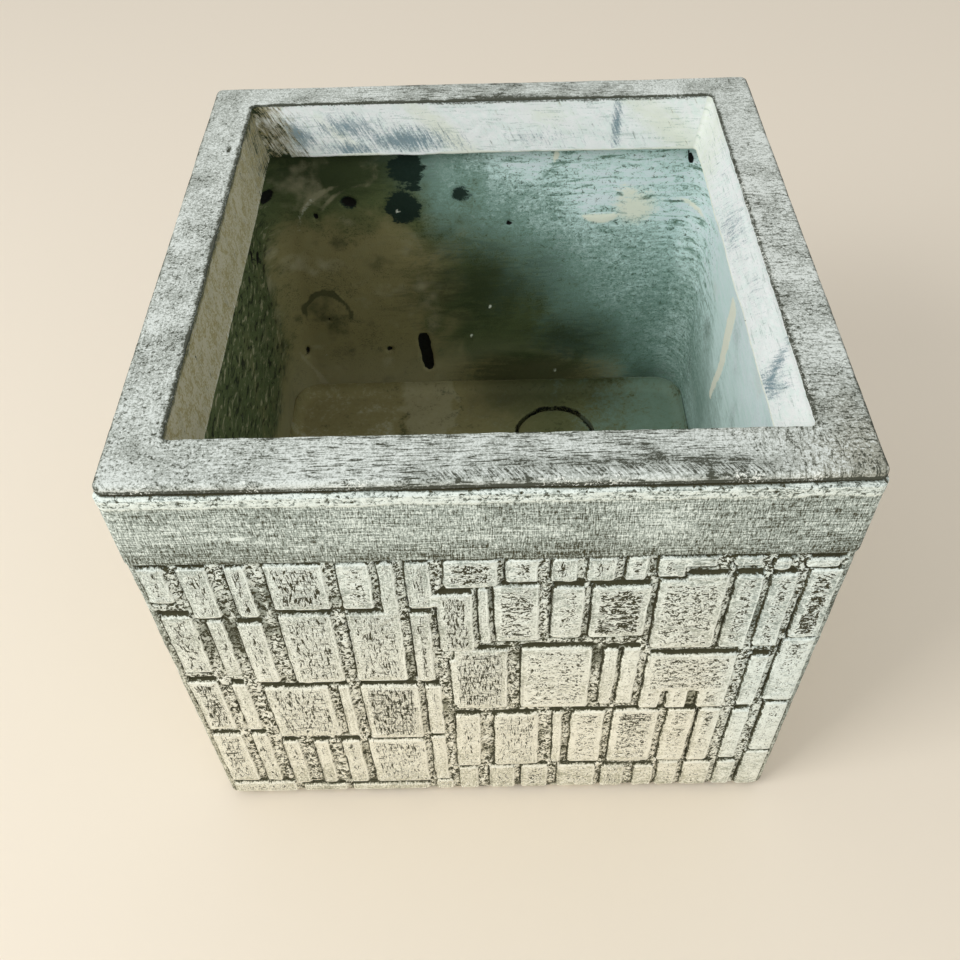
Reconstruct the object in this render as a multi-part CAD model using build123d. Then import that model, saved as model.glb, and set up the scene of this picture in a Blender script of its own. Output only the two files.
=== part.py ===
from build123d import *
import math
import os

# Square cast fibre-cement planter box with a mosaic relief on its four sides.
# Millimetres, +Z up, origin on the ground under the centre. The front is the -Y side.
# The casting is modelled as it is laid up in its mould: four mitred wall panels, a floor slab
# housed in them, a rim cap over their heads, a lining strip inside the rim, and a drain plug.

# ---------------------------------------------------------------- driving dimensions
RIM_WIDTH = 300.0            # across the rim cap, outside
BODY_WIDTH = 302.4           # across the bead just under the rim
HEIGHT = 268.0
WALL = 15.0                  # panel thickness behind the band
CORNER_RADIUS = 6.0          # outer vertical corners
FOOT_EASE = 3.0              # lower edge of the walls
HOLLOW_RADIUS = 18.0         # inner vertical corners

# Rim: a thin cap on the wall heads, and a lining strip that hangs inside it
CAP_THICKNESS = 4.6
CAP_TOP_ROUND = 2.4
CAP_EDGE_EASE = 1.0
OPENING_WIDTH = 254.0
OPENING_DEPTH = 254.4
OPENING_SHIFT = 2.0          # the opening sits this far behind the centre
OPENING_RADIUS = 5.0
LINING_DEPTH = 32.8          # from the top of the rim to the lining's lip
TOE_IN = 4.8                 # how far the lining leans in at the front and sides
TOE_IN_BACK = 1.2
LIP_EASE = 2.0

# Outer face, from the top down: seam, bead, plain band, mosaic
SEAM_HEIGHT = 1.8
SEAM_DEPTH = 1.6
BEAD_HEIGHT = 6.0
BEAD_PROUD = 0.5             # bead beyond the plain band
BAND_FOOT = 221.0            # where the plain band starts to slope in
MOSAIC_HEAD = 218.0          # where that slope meets the groove level
GROOVE_DEPTH = 2.4           # grooves below the plain band
TILE_RISE = 2.4              # full tiles, level with the band
ARM_RISE = 2.0               # arms, bars and feet joined to a full tile
TILE_DRAFT = 14.0            # lean of a tile's sides, degrees
TILE_ROOT = 0.4              # how far a tile is let into the panel

# Floor: housed in the walls, raised above the ground, with a cove round its top
FLOOR_TOP = 42.0
FLOOR_THICKNESS = 24.0
HOUSING_DEPTH = 3.0
COVE = 8.0
COVE_LIP = 0.8               # thin edge where the cove meets the wall

# Drain plug: a flat head in a round seat and a tapered stem in the drain hole
DRAIN_X, DRAIN_Y = 46.0, 88.0
PLUG_HEAD_RADIUS = 26.0
SEAT_GAP = 2.0
SEAT_DEPTH = 8.0
PLUG_RECESS = 0.8            # head below the floor
STEM_RADIUS = 19.4
STEM_TAPER = 1.2
STEM_LENGTH = 14.0
BORE_GAP = 0.6

# Mosaic: courses of raised tiles as (foot, head, spans), heights above the ground and
# spans across the face from its centre line, read along the front face.
TILES = [
    # first course, under the plain band
    (193, 216, [(-148, -136)]),
    (181, 216, [(-130, -118), (-110, -102)]),
    (186, 217, [(-94, -70), (-64, -51), (-36, -26)]),
    (200, 218, [(-20, 2)]),
    (203, 218, [(6, 19), (25, 35), (40, 51), (56, 64)]),
    (205, 217, [(69, 80)]),
    (212, 217, [(100, 111)]),
    (209, 215, [(117, 123)]),
    (210, 215, [(130, 143)]),
    # second course
    (136, 181, [(-145, -132)]),
    (133, 177, [(-126, -119)]),
    (126, 174, [(-113, -102)]),
    (125, 181, [(-94, -71), (-64, -41), (-36, -28)]),
    (150, 194, [(-24, -9)]),
    (156, 197, [(-6, -2)]),
    (158, 199, [(1, 20)]),
    (160, 197, [(26, 39), (43, 67)]),
    (150, 201, [(71, 99)]),
    (150, 204, [(103, 114), (118, 128)]),
    (157, 207, [(133, 146)]),
    # third course
    (80, 126, [(-146, -132)]),
    (79, 123, [(-126, -119)]),
    (71, 119, [(-111, -80), (-75, -70), (-33, -26)]),
    (67, 119, [(-64, -37)]),
    (100, 141, [(-20, -8)]),
    (97, 150, [(13, 45)]),
    (99, 148, [(51, 57), (60, 67)]),
    (110, 142, [(72, 113)]),
    (95, 140, [(120, 128)]),
    (100, 154, [(132, 146)]),
    # fourth course
    (20, 72, [(-146, -131), (-126, -118)]),
    (16, 63, [(-111, -103), (-95, -88), (-80, -71), (-66, -37)]),
    (18, 66, [(-33, -26)]),
    (34, 88, [(-20, -8), (0, 22)]),
    (36, 90, [(30, 34), (39, 55), (60, 82), (87, 100), (103, 113)]),
    (38, 88, [(120, 128)]),
    (46, 95, [(135, 160)]),
    # last course, down to the foot
    (6, 15, [(-147, -112), (-33, -24)]),
    (6, 11, [(-108, -84), (-80, -38)]),
    (6, 30, [(-20, -10), (-3, 10), (14, 28), (34, 54)]),
    (6, 28, [(58, 70), (76, 86)]),
    (6, 32, [(89, 99), (103, 117), (121, 130)]),
    (6, 43, [(134, 160)]),
]
ARMS = [
    (179, 217, [(-47, -41)]),
    (187, 194, [(-34, -22)]),
    (212, 217, [(78, 92)]),
    (199, 204, [(82, 99)]),
    (97, 149, [(-1, 6)]),
    (97, 103, [(-18, 4)]),
    (94, 112, [(72, 81), (85, 94), (100, 113)]),
]

# ---------------------------------------------------------------- worked-out sizes
CAP_LOW = HEIGHT - CAP_THICKNESS
BEAD_HEAD = CAP_LOW - SEAM_HEIGHT
BEAD_FOOT = BEAD_HEAD - BEAD_HEIGHT
BEAD_HALF = BODY_WIDTH / 2
BAND_HALF = BEAD_HALF - BEAD_PROUD
GROOVE_HALF = BAND_HALF - GROOVE_DEPTH
SEAM_HALF = BEAD_HALF - SEAM_DEPTH
HOLLOW_HALF = BEAD_HALF - WALL
OPENING_FRONT = OPENING_SHIFT - OPENING_DEPTH / 2
LIP_LOW = HEIGHT - LINING_DEPTH
SLAB_LOW = FLOOR_TOP - FLOOR_THICKNESS
SEAT_LOW = FLOOR_TOP - SEAT_DEPTH
CLEAR = 5.0                  # how far a cutting tool runs past what it cuts

STAND = (Align.CENTER, Align.CENTER, Align.MIN)   # a solid that stands on its place
HANG = (Align.CENTER, Align.CENTER, Align.MAX)    # a solid that hangs from its place


def block(half, radius, low, high):
    """Upright square block, rounded at its vertical corners, between two heights."""
    return extrude(Pos(0, 0, low) * RectangleRounded(2 * half, 2 * half, radius), high - low)


def level_edges(solid, which):
    """Edges in the lowest (0) or highest (-1) plane of a solid."""
    return solid.edges().group_by(Axis.Z)[which]


# ---------------------------------------------------------------- walls
def wall_ring():
    """The four walls in one ring: groove level, slope, plain band, bead, seam, hollow, housing."""
    core = block(GROOVE_HALF, CORNER_RADIUS, 0, MOSAIC_HEAD)
    core = chamfer(level_edges(core, 0), FOOT_EASE)
    slope_height = BAND_FOOT - MOSAIC_HEAD
    lean = math.degrees(math.atan2(GROOVE_DEPTH, slope_height))
    square = RectangleRounded(2 * GROOVE_HALF, 2 * GROOVE_HALF, CORNER_RADIUS)
    slope = extrude(Pos(0, 0, MOSAIC_HEAD) * square, slope_height, taper=-lean)
    band = block(BAND_HALF, CORNER_RADIUS, BAND_FOOT, BEAD_FOOT)
    bead = block(BEAD_HALF, CORNER_RADIUS, BEAD_FOOT, BEAD_HEAD)
    neck = block(SEAM_HALF, CORNER_RADIUS, BEAD_HEAD, CAP_LOW)
    hollow = block(HOLLOW_HALF, HOLLOW_RADIUS, -CLEAR, HEIGHT)
    return core + slope + band + bead + neck - hollow - housed_plate()


def housed_plate():
    """The floor's plain square plate, which is also the groove that it takes in the walls."""
    width = 2 * (HOLLOW_HALF + HOUSING_DEPTH)
    return Pos(0, 0, SLAB_LOW) * Box(width, width, FLOOR_THICKNESS, align=STAND)


def front_sector():
    """Everything nearer the front than the two diagonals, which are the mitre planes."""
    reach = RIM_WIDTH
    corners = [(0, 0), (-reach, -reach), (reach, -reach)]
    return extrude(Pos(0, 0, -CLEAR) * make_face(Polyline(*corners, close=True)), HEIGHT + 2 * CLEAR)


def tile(foot, head, left, right, rise):
    """One raised tile of the front face, its four sides leaning in towards its flat top."""
    width, height = right - left, head - foot
    lift = rise + TILE_ROOT
    lean = lift * math.tan(math.radians(TILE_DRAFT))
    body = Wedge(width, lift, height, lean, lean, width - lean, height - lean, align=None)
    return Pos(left, TILE_ROOT - GROOVE_HALF, head) * Rot(180, 0, 0) * body


def mosaic():
    """All tiles and arms of one face, kept inside the rounded outline of the box."""
    courses = [(course, TILE_RISE) for course in TILES] + [(course, ARM_RISE) for course in ARMS]
    tiles = [
        tile(foot, head, left, right, rise)
        for (foot, head, spans), rise in courses
        for left, right in spans
    ]
    return (Part() + tiles) & block(BAND_HALF, CORNER_RADIUS, 0, MOSAIC_HEAD)


def front_wall():
    """The front panel: its sector of the ring with the mosaic raised on it."""
    sector = front_sector()
    return (wall_ring() & sector) + (mosaic() & sector)


# ---------------------------------------------------------------- rim
def rim_cap():
    """Square frame on the wall heads, well rounded along its outer top edge and eased elsewhere."""
    cap = block(RIM_WIDTH / 2, CORNER_RADIUS, CAP_LOW, HEIGHT)
    cap = fillet(level_edges(cap, -1), CAP_TOP_ROUND)
    outline = RectangleRounded(OPENING_WIDTH, OPENING_DEPTH, OPENING_RADIUS)
    cap -= extrude(Pos(0, OPENING_SHIFT, CAP_LOW - CLEAR) * outline, CAP_THICKNESS + 2 * CLEAR)
    return chamfer(inside(level_edges(cap, -1)), CAP_EDGE_EASE)


def inside(edges):
    """Those edges that lie round the opening, away from the outer faces."""
    reach = HOLLOW_HALF - CLEAR
    return edges.filter_by(lambda e: abs(e.center().X) < reach and abs(e.center().Y) < reach)


def rim_lining():
    """Strip inside the rim: flat against the walls outside, leaning in towards its lip inside."""
    strip = block(HOLLOW_HALF, HOLLOW_RADIUS, LIP_LOW, CAP_LOW)
    strip -= leaning_opening()
    return chamfer(inside(level_edges(strip, 0)), LIP_EASE)


def leaning_opening():
    """Hollow of the lining: the opening at the top, smaller by the toe-in at the lip, flat sides."""
    depth = CAP_LOW - LIP_LOW
    hollow = Wedge(
        OPENING_WIDTH, depth, OPENING_DEPTH,
        TOE_IN, TOE_IN, OPENING_WIDTH - TOE_IN, OPENING_DEPTH - TOE_IN_BACK, align=None,
    )
    hollow = fillet(hollow.edges().filter_by(lambda e: abs(e.tangent_at(0).Y) > 0.5), OPENING_RADIUS)
    return Pos(-OPENING_WIDTH / 2, OPENING_FRONT, CAP_LOW) * Rot(-90, 0, 0) * hollow


# ---------------------------------------------------------------- floor and plug
def floor_slab():
    """Slab housed in the walls, with a cove round its top and a stepped drain hole."""
    slab = housed_plate() + block(HOLLOW_HALF, HOLLOW_RADIUS, FLOOR_TOP, FLOOR_TOP + COVE)
    well = block(HOLLOW_HALF - COVE_LIP, HOLLOW_RADIUS - COVE_LIP, FLOOR_TOP, FLOOR_TOP + COVE + CLEAR)
    slab -= fillet(level_edges(well, 0), COVE)
    seat = Cylinder(PLUG_HEAD_RADIUS + SEAT_GAP, SEAT_DEPTH + CLEAR, align=STAND)
    bore = Cylinder(STEM_RADIUS + BORE_GAP, FLOOR_THICKNESS + CLEAR, align=STAND)
    return slab - Pos(DRAIN_X, DRAIN_Y, SEAT_LOW) * seat - Pos(DRAIN_X, DRAIN_Y, SLAB_LOW - CLEAR) * bore


def drain_plug():
    """Plug resting on its seat: a flat round head and a tapered stem under it."""
    head = Cylinder(PLUG_HEAD_RADIUS, SEAT_DEPTH - PLUG_RECESS, align=STAND)
    stem = Cone(STEM_RADIUS - STEM_TAPER, STEM_RADIUS, STEM_LENGTH, align=HANG)
    return Pos(DRAIN_X, DRAIN_Y, SEAT_LOW) * (head + stem)


# ---------------------------------------------------------------- all pieces
front = front_wall()
pieces = {
    "wall_front": front,
    "wall_right": Rot(0, 0, 90) * front,
    "wall_back": Rot(0, 0, 180) * front,
    "wall_left": Rot(0, 0, 270) * front,
    "floor_slab": floor_slab(),
    "rim_cap": rim_cap(),
    "rim_lining": rim_lining(),
    "drain_plug": drain_plug(),
}

os.makedirs("parts", exist_ok=True)
for name, piece in pieces.items():
    export_step(piece, f"parts/{name}.step")
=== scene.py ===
"""Square cast planter box: mosaic walls, brushed rim, painted lining, stained hollow, drain plug.

Lengths are millimetres inside the functions and metres in the meshes and materials. The front is the -Y
side. Each piece is a grid of points worked out with numpy, and carries layers: one value per point that its
material reads, such as how much paint there is or how far a tile's edge lies.
"""

import math

import bpy
import numpy as np
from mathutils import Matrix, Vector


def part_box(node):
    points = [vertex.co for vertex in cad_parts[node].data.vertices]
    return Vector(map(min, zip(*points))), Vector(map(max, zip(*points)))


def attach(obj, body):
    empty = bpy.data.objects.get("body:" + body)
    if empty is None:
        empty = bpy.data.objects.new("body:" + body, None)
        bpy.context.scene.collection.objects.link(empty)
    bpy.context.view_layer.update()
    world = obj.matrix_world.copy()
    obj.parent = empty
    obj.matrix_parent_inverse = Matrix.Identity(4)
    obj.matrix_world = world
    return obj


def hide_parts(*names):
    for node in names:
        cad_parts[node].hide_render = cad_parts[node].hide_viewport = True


bl_info = {
    "name": "Cast Planter Box",
    "version": (1, 0, 0),
    "blender": (4, 5, 0),
    "location": "View3D > Sidebar > Planter",
    "description": "Builds a cast planter box with a mosaic relief round its CAD frame",
    "category": "Add Mesh",
}

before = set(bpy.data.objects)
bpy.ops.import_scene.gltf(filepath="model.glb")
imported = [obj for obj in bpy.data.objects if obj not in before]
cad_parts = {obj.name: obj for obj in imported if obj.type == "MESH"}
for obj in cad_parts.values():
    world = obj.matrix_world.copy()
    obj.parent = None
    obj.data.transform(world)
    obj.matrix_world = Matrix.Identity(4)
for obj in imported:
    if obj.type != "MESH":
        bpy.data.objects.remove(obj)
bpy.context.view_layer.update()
MM = 1000.0
QUARTER_TURN = math.pi / 2
SIDES = ("front", "right", "back", "left")   # each a quarter turn from the one before
FRONT, RIGHT, BACK = range(3)


def lowest(node):
    """Lowest corner of a CAD node, in millimetres."""
    return np.array(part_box(node)[0]) * MM


def highest(node):
    """Highest corner of a CAD node, in millimetres."""
    return np.array(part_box(node)[1]) * MM


# Levels and half widths read from the frame
BEAD_HALF = -lowest("wall_front")[1]
CAP_LOW = lowest("rim_cap")[2]
TOP = highest("rim_cap")[2]
RIM_HALF = highest("rim_cap")[0]
HOLLOW_HALF = highest("rim_lining")[0]
LIP_LOW = lowest("rim_lining")[2]
PLUG_LOW, PLUG_TOP = lowest("drain_plug"), highest("drain_plug")
PLUG_MIDDLE = (PLUG_LOW + PLUG_TOP) / 2

# Walls
BAND_PROUD = 0.5              # from the plain band out to the bead
WALL_MIDDLE = (BEAD_HALF - BAND_PROUD + HOLLOW_HALF) / 2
TILE_CEILING = 218.2          # the plain band starts to slope out above this
BAND_FOOT = 221.0
BEAD_HEIGHT = 6.0
SEAM_HEIGHT = 1.8
TILE_ROUND = 1.1              # rounding of a tile's outline
TILE_GROWTH = 0.7             # how far a tile is grown all round
TILE_SEED = 5
PAST_MITRE = 20.0             # how far a tile at a mitre runs on, so that it has no side there
FAR = 99.0                    # a distance that stands for no tile at all

# The opening in the cap and the lip of the lining: half width, half depth, middle in Y and corner radius.
# The lining leans in from one to the other, less at the back.
TOE_IN, TOE_IN_BACK = 4.8, 1.2
OPENING = (127.0, 127.2, 2.0, 3.0)
LIP = (
    OPENING[0] - TOE_IN, OPENING[1] - (TOE_IN + TOE_IN_BACK) / 2,
    OPENING[2] + (TOE_IN - TOE_IN_BACK) / 2, 2.0,
)

# Plug
STEM_TOP, STEM_FOOT = 19.4, 18.2
HEAD_HEIGHT = 7.2
HEAD_ROUND = 1.3

# Patterns and meshes
SIDE_OFFSET = 700.0           # how far apart the sides lie in the flow layer, so that no two look alike
LONG = 400.0                  # size of a pattern along the axis that it hardly changes on
SHARP_ANGLE = math.radians(52)
QUAD = ((0, 0), (1, 0), (1, 1), (0, 1))                # steps to a face's corners on the grid
LATTICE = (374761393, 668265263, 1442695041)           # large odd factors that scatter cells and seeds
SEED_FACTOR, SCRAMBLE, LOW_BITS = 974634777, 1274126177, 0xFFFFFFFF
MIX_FIRST, MIX_SECOND, MIX_RESULT = 6, 7, 2            # a Mix node's colour sockets
SPECULAR = 0.3

# Stage, in metres apart from the sensor's millimetres
KEY_LAMP = ((-1.35, -0.75, 1.35), 0.9)                 # place and width
FILL_LAMP = ((0.9, -1.6, 1.1), 1.6)
FLOOR_ROUGHNESS = 0.8
SENSOR_WIDTH = 36.0
NEAREST_SEEN = 0.01


def paint(red, green, blue):
    """A colour given as a paint chart gives it, 0 to 255, turned into linear light."""
    chart = np.array([red, green, blue]) / 255
    linear = np.where(chart <= 0.04045, chart / 12.92, ((chart + 0.055) / 1.055) ** 2.4)
    return tuple(float(c) for c in linear)


def length(name, description, default):
    """A length property, kept in metres and given here in millimetres."""
    return bpy.props.FloatProperty(name=name, description=description, default=default / MM, unit="LENGTH")


def colour(name, description, default):
    """A colour property with a paint-chart default."""
    return bpy.props.FloatVectorProperty(
        name=name, description=description, default=paint(*default), subtype="COLOR", size=3, min=0, max=1
    )


# ---------------------------------------------------------------- settings
class MosaicSettings(bpy.types.PropertyGroup):
    """Sizes and paints of the outer walls"""
    step: length("Grid step", "Spacing of the relief's grid", 0.91)
    corner: length("Corner round", "Radius of the upright corners", 4.5)
    foot: length("Foot round", "Radius of the lower edge", 6.0)
    proud: length("Bead proud", "How far the bead stands out of the plain band", BAND_PROUD)
    groove: length("Groove depth", "Depth of the grooves below the tiles", 2.5)
    edge: length("Tile edge", "Width over which a tile's side rises", 1.0)
    wander: length("Tile wander", "How far a tile's outline strays", 0.7)
    crackle: length("Crackle depth", "Depth of the wrinkles in a tile's middle", 0.3)
    crust: length("Crust height", "Height of the cement crumbs in upright gaps", 1.4)
    seam: length("Seam depth", "Depth of the open seam under the rim", 3.2)
    # Also the colour of the painted shadow ahead of each tile and of the painted shade at the plain band's
    # foot.
    cement: colour("Cement", "Bare dark cement in grooves and pits", (66, 65, 45))
    buff: colour("Buff", "Thin brushing low on the walls", (190, 187, 162))
    grey: colour("Grey", "Thin brushing high on the walls", (163, 174, 166))
    # The cream and cool cream also make the painted highlight on the tiles' lips and on the brows beside
    # wrinkles.
    cream: colour("Cream", "Full brushing low on the walls", (251, 247, 227))
    cool: colour("Cool cream", "Full brushing high on the walls", (239, 248, 240))


class RimSettings(bpy.types.PropertyGroup):
    """Sizes and paints of the rim cap"""
    step: length("Grid step", "Spacing of the grid along the rim", 1.2)
    corner: length("Corner round", "Radius of the outer corners", 4.0)
    edge: length("Edge round", "Radius of the outer top edge", 2.4)
    unevenness: length("Unevenness", "How far the rim's faces stray", 0.35)
    # Also the colour of the painted shade under the rim's rounded outer edge.
    cement: colour("Cement", "Dark cement in scratches and along the edges", (72, 75, 64))
    grey: colour("Grey", "Thin grey-green brushing", (170, 176, 168))
    brushed: colour("Brushed", "Full pale brushing", (220, 226, 220))
    chip: colour("Chip", "White flecks of paint along the edges", (246, 249, 240))
    bare: colour("Bare corner", "Brownish grey of the worn front corner", (158, 158, 143))


class HollowSettings(bpy.types.PropertyGroup):
    """Sizes and paints of the inner walls, the lining, the floor slab and the plug"""
    step: length("Grid step", "Spacing of the grid on the inner walls", 1.5)
    corner: length("Corner round", "Radius of the hollow's upright corners", 18.0)
    unevenness: length("Unevenness", "How far the inner walls stray", 0.6)
    mint: colour("Mint", "Pale wash on the lit walls", (223, 248, 245))
    # Bluish white painted highlight where the wash and its painted light are strongest.
    highlight_frost: colour("Frost", "Bluish white where the wash is thickest", (238, 252, 255))
    sea: colour("Sea green", "Thin wash", (128, 160, 148))
    moss: colour("Moss", "Green-grey cement", (92, 103, 64))
    # Also the colour of painted shade in the hollow and under the lining's lip.
    deep: colour("Deep green", "Dark damp cement", (42, 54, 28))
    umber: colour("Umber", "Raw olive-brown cement", (152, 142, 98))
    sand: colour("Sand", "Dry pale cement", (188, 180, 148))
    stone: colour("Stone", "Bare cement of the lining", (184, 178, 152))
    teal: colour("Teal", "Dark blue-green stains", (16, 38, 30))
    pit: colour("Pit", "Black inside pits and holes", (10, 10, 5))
    chalk: colour("Chalk", "Cream splashes and specks", (252, 255, 238))
    white: colour("White", "Lining paint", (252, 255, 254))
    pale: colour("Pale mint", "Thinner lining paint", (240, 251, 247))
    # Also the painted highlight along the lower edge of the lining's lip.
    ivory: colour("Ivory", "Cream on the lining", (242, 247, 234))
    blue: colour("Blue grey", "Blue-grey brush marks on the lining", (134, 156, 164))


class StageSettings(bpy.types.PropertyGroup):
    """Floor, lamps, sky and camera"""
    floor: colour("Floor", "Plain pale floor", (236, 225, 207))
    floor_width: length("Floor width", "Side of the square floor", 6000.0)
    camera_place: bpy.props.FloatVectorProperty(
        name="Camera place", description="Where the camera stands", size=3, subtype="TRANSLATION",
        unit="LENGTH", default=(0.00006, -0.39864, 0.55197),
    )
    camera_turn: bpy.props.FloatVectorProperty(
        name="Camera turn", description="How the camera is turned", size=3, subtype="EULER",
        unit="ROTATION", default=tuple(math.radians(a) for a in (41.212, 1.187, -0.549)),
    )
    lens: bpy.props.FloatProperty(name="Lens", description="Focal length", default=38.14, unit="CAMERA")
    key_power: bpy.props.FloatProperty(
        name="Key lamp", description="Soft lamp on the left", default=20.5, unit="POWER"
    )
    fill_power: bpy.props.FloatProperty(
        name="Fill lamp", description="Soft lamp in front", default=3.5, unit="POWER"
    )
    sky: bpy.props.FloatProperty(
        name="Sky", description="Strength of the even light all round", default=0.66, min=0
    )


class PlanterSettings(bpy.types.PropertyGroup):
    """All the planter's settings, group by group"""
    mosaic: bpy.props.PointerProperty(type=MosaicSettings, name="Mosaic", description="Outer walls")
    rim: bpy.props.PointerProperty(type=RimSettings, name="Rim", description="Rim cap")
    hollow: bpy.props.PointerProperty(
        type=HollowSettings, name="Hollow", description="Inner walls and lining"
    )
    stage: bpy.props.PointerProperty(type=StageSettings, name="Stage", description="Floor, lamps and camera")


# ---------------------------------------------------------------- numbers on arrays
def smooth(share):
    """Eases from 0 to 1: three times the square less twice the cube, held at both ends."""
    share = np.clip(share, 0, 1)
    return share * share * (3 - 2 * share)


def passing(value, width):
    """Eases from 0 to 1 as a value passes 0, half the width on each side."""
    return smooth(value / width + 0.5)


def near(distance, width, fray=0.0, fullness=1.0):
    """Eases from 1 to 0 with the distance from a line: the fullness less the distance in widths. Fray is
    added to it and makes the edge ragged."""
    return smooth(fullness - np.abs(distance) / width + fray)


def ridge(distance, width):
    """1 a little way in from an edge, falling off on both sides as a bell."""
    return np.exp(-(((distance - 0.5) / width) ** 2))


def mix(share, first, second):
    """The first value where the share is 0, the second where it is 1."""
    return first * (1 - share) + second * share


def by_side(side, front, right, back, left):
    """A value, or a whole array, for each side of the box."""
    return np.choose(side, [front, right, back, left])


def hashed(cell, seed):
    """A number from 0 to 1 that depends only on a cell of the lattice and on the seed."""
    mixed = sum(cell[..., axis] * factor for axis, factor in enumerate(LATTICE)) + seed * SEED_FACTOR
    mixed = ((mixed ^ (mixed >> 13)) & LOW_BITS) * SCRAMBLE
    mixed = (mixed ^ (mixed >> 16)) & LOW_BITS
    return mixed / LOW_BITS


def noise(place, size, seed):
    """Value noise from -1 to 1: a random number at each corner of cubes of that size, eased between them."""
    where = place / size
    cell = np.floor(where).astype(np.int64)
    share = smooth(where - cell)
    total = 0
    for corner in np.ndindex(2, 2, 2):
        weight = np.prod(np.where(corner, share, 1 - share), axis=-1)
        total = total + weight * hashed(cell + np.array(corner), seed)
    return 2 * total - 1


def layers(place, size, seed, count=3):
    """Noise of halving size and halving strength, added up and brought back to -1 to 1."""
    parts = [noise(place, size / 2**k, seed + 17 * k) / 2**k for k in range(count)]
    return sum(parts) / sum(1 / 2**k for k in range(count))


def spot(x, z, middle_x, middle_z, reach_x, reach_z):
    """1 at the middle of an oval, 0 at its edge and less outside."""
    return 1 - np.hypot((x - middle_x) / reach_x, (z - middle_z) / reach_z)


def most(x, z, spots):
    """The strongest of a list of ovals at each place, each given as its middle, reaches and strength."""
    return np.max([strength * spot(x, z, *oval) for *oval, strength in spots], axis=0)


# ---------------------------------------------------------------- meshes
def grid_object(name, points, wrap_along, wrap_round, made):
    """A piece from a grid of points: four-sided faces between neighbours, wrapped where the grid closes, and
    a flat face over each open end of a closed section. Faces are turned outwards by the sign of the volume.
    made holds the layers by name."""
    along, round_ = points.shape[:2]
    index = np.arange(along * round_).reshape(along, round_)
    columns = np.arange(along if wrap_along else along - 1)
    rows = np.arange(round_ if wrap_round else round_ - 1)
    a, b = np.meshgrid(columns, rows, indexing="ij")
    quads = np.stack([index[(a + i) % along, (b + j) % round_] for i, j in QUAD], -1).reshape(-1, 4)
    uv = np.stack([np.stack([a + i, b + j], -1) for i, j in QUAD], -2)
    uv = uv.reshape(-1, 2) / (along + 1, round_ + 1)
    loops, starts = quads.reshape(-1), np.arange(len(quads)) * 4
    if not wrap_along:
        ends = np.concatenate([index[0][::-1], index[-1]])
        starts = np.concatenate([starts, len(loops) + np.array([0, round_])])
        loops = np.concatenate([loops, ends])
        end_column = np.full(2 * round_, (along + 0.5) / (along + 1))
        uv = np.concatenate([uv, np.stack([end_column, np.tile(np.linspace(0, 1, round_), 2)], -1)])
    corners = points.reshape(-1, 3)[quads] - points.reshape(-1, 3).mean(0)
    first, second, third = corners[:, 0], corners[:, 1], corners[:, 2]
    if np.einsum("ij,ij->i", first, np.cross(second - first, third - first)).sum() < 0:
        order = np.arange(len(loops))
        lengths = np.diff(np.append(starts, len(loops)))
        flipped = np.repeat(2 * starts + lengths - 1, lengths) - order
        loops, uv = loops[flipped], uv[flipped]
    mesh = bpy.data.meshes.new(name)
    mesh.vertices.add(along * round_)
    mesh.vertices.foreach_set("co", (points.reshape(-1) / MM).astype(np.float32))
    mesh.loops.add(len(loops))
    mesh.loops.foreach_set("vertex_index", loops.astype(np.int32))
    mesh.polygons.add(len(starts))
    mesh.polygons.foreach_set("loop_start", starts.astype(np.int32))
    mesh.update(calc_edges=True)
    mesh.polygons.foreach_set("use_smooth", np.ones(len(starts), bool))
    mesh.uv_layers.new(name="surface").data.foreach_set("uv", uv.astype(np.float32).reshape(-1))
    for label, values in made.items():
        kind, field = ("FLOAT_VECTOR", "vector") if values.ndim == 3 else ("FLOAT", "value")
        layer = mesh.attributes.new(label, kind, "POINT")
        layer.data.foreach_set(field, values.reshape(-1).astype(np.float32))
    mesh.set_sharp_from_angle(angle=SHARP_ANGLE)
    mesh.validate()
    piece = bpy.data.objects.new(name, mesh)
    bpy.context.scene.collection.objects.link(piece)
    return piece


def settle(piece, material, node, body="planter"):
    """Gives a piece its material and its body, and hides the CAD node that it stands for."""
    piece.data.materials.append(material)
    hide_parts(node)
    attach(piece, body)


def turned(points, quarter):
    """Points turned about the upright axis by whole quarter turns."""
    cos, sin = ((1, 0), (0, 1), (-1, 0), (0, -1))[quarter]
    x, y = points[..., 0], points[..., 1]
    return np.concatenate([np.stack([cos * x - sin * y, sin * x + cos * y], -1), points[..., 2:]], -1)


def raised(plan, level):
    """Points in space from a plan of rows and the level of each row."""
    return np.concatenate([plan, np.broadcast_to(level[None, :, None], (*plan.shape[:2], 1))], -1)


def side_outline(count, half, corner):
    """One side of a rounded square from mitre to mitre: distance along it, points and outward normals.
    The middle is straight and each end is an eighth of a circle."""
    flat = half - corner
    reach = flat + corner * math.pi / 4
    s = np.linspace(-reach, reach, count)
    angle = np.sign(s) * np.maximum(np.abs(s) - flat, 0) / corner
    points = np.stack([np.clip(s, -flat, flat) + corner * np.sin(angle), -flat - corner * np.cos(angle)], -1)
    return s, points, np.stack([np.sin(angle), -np.cos(angle)], -1)


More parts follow.
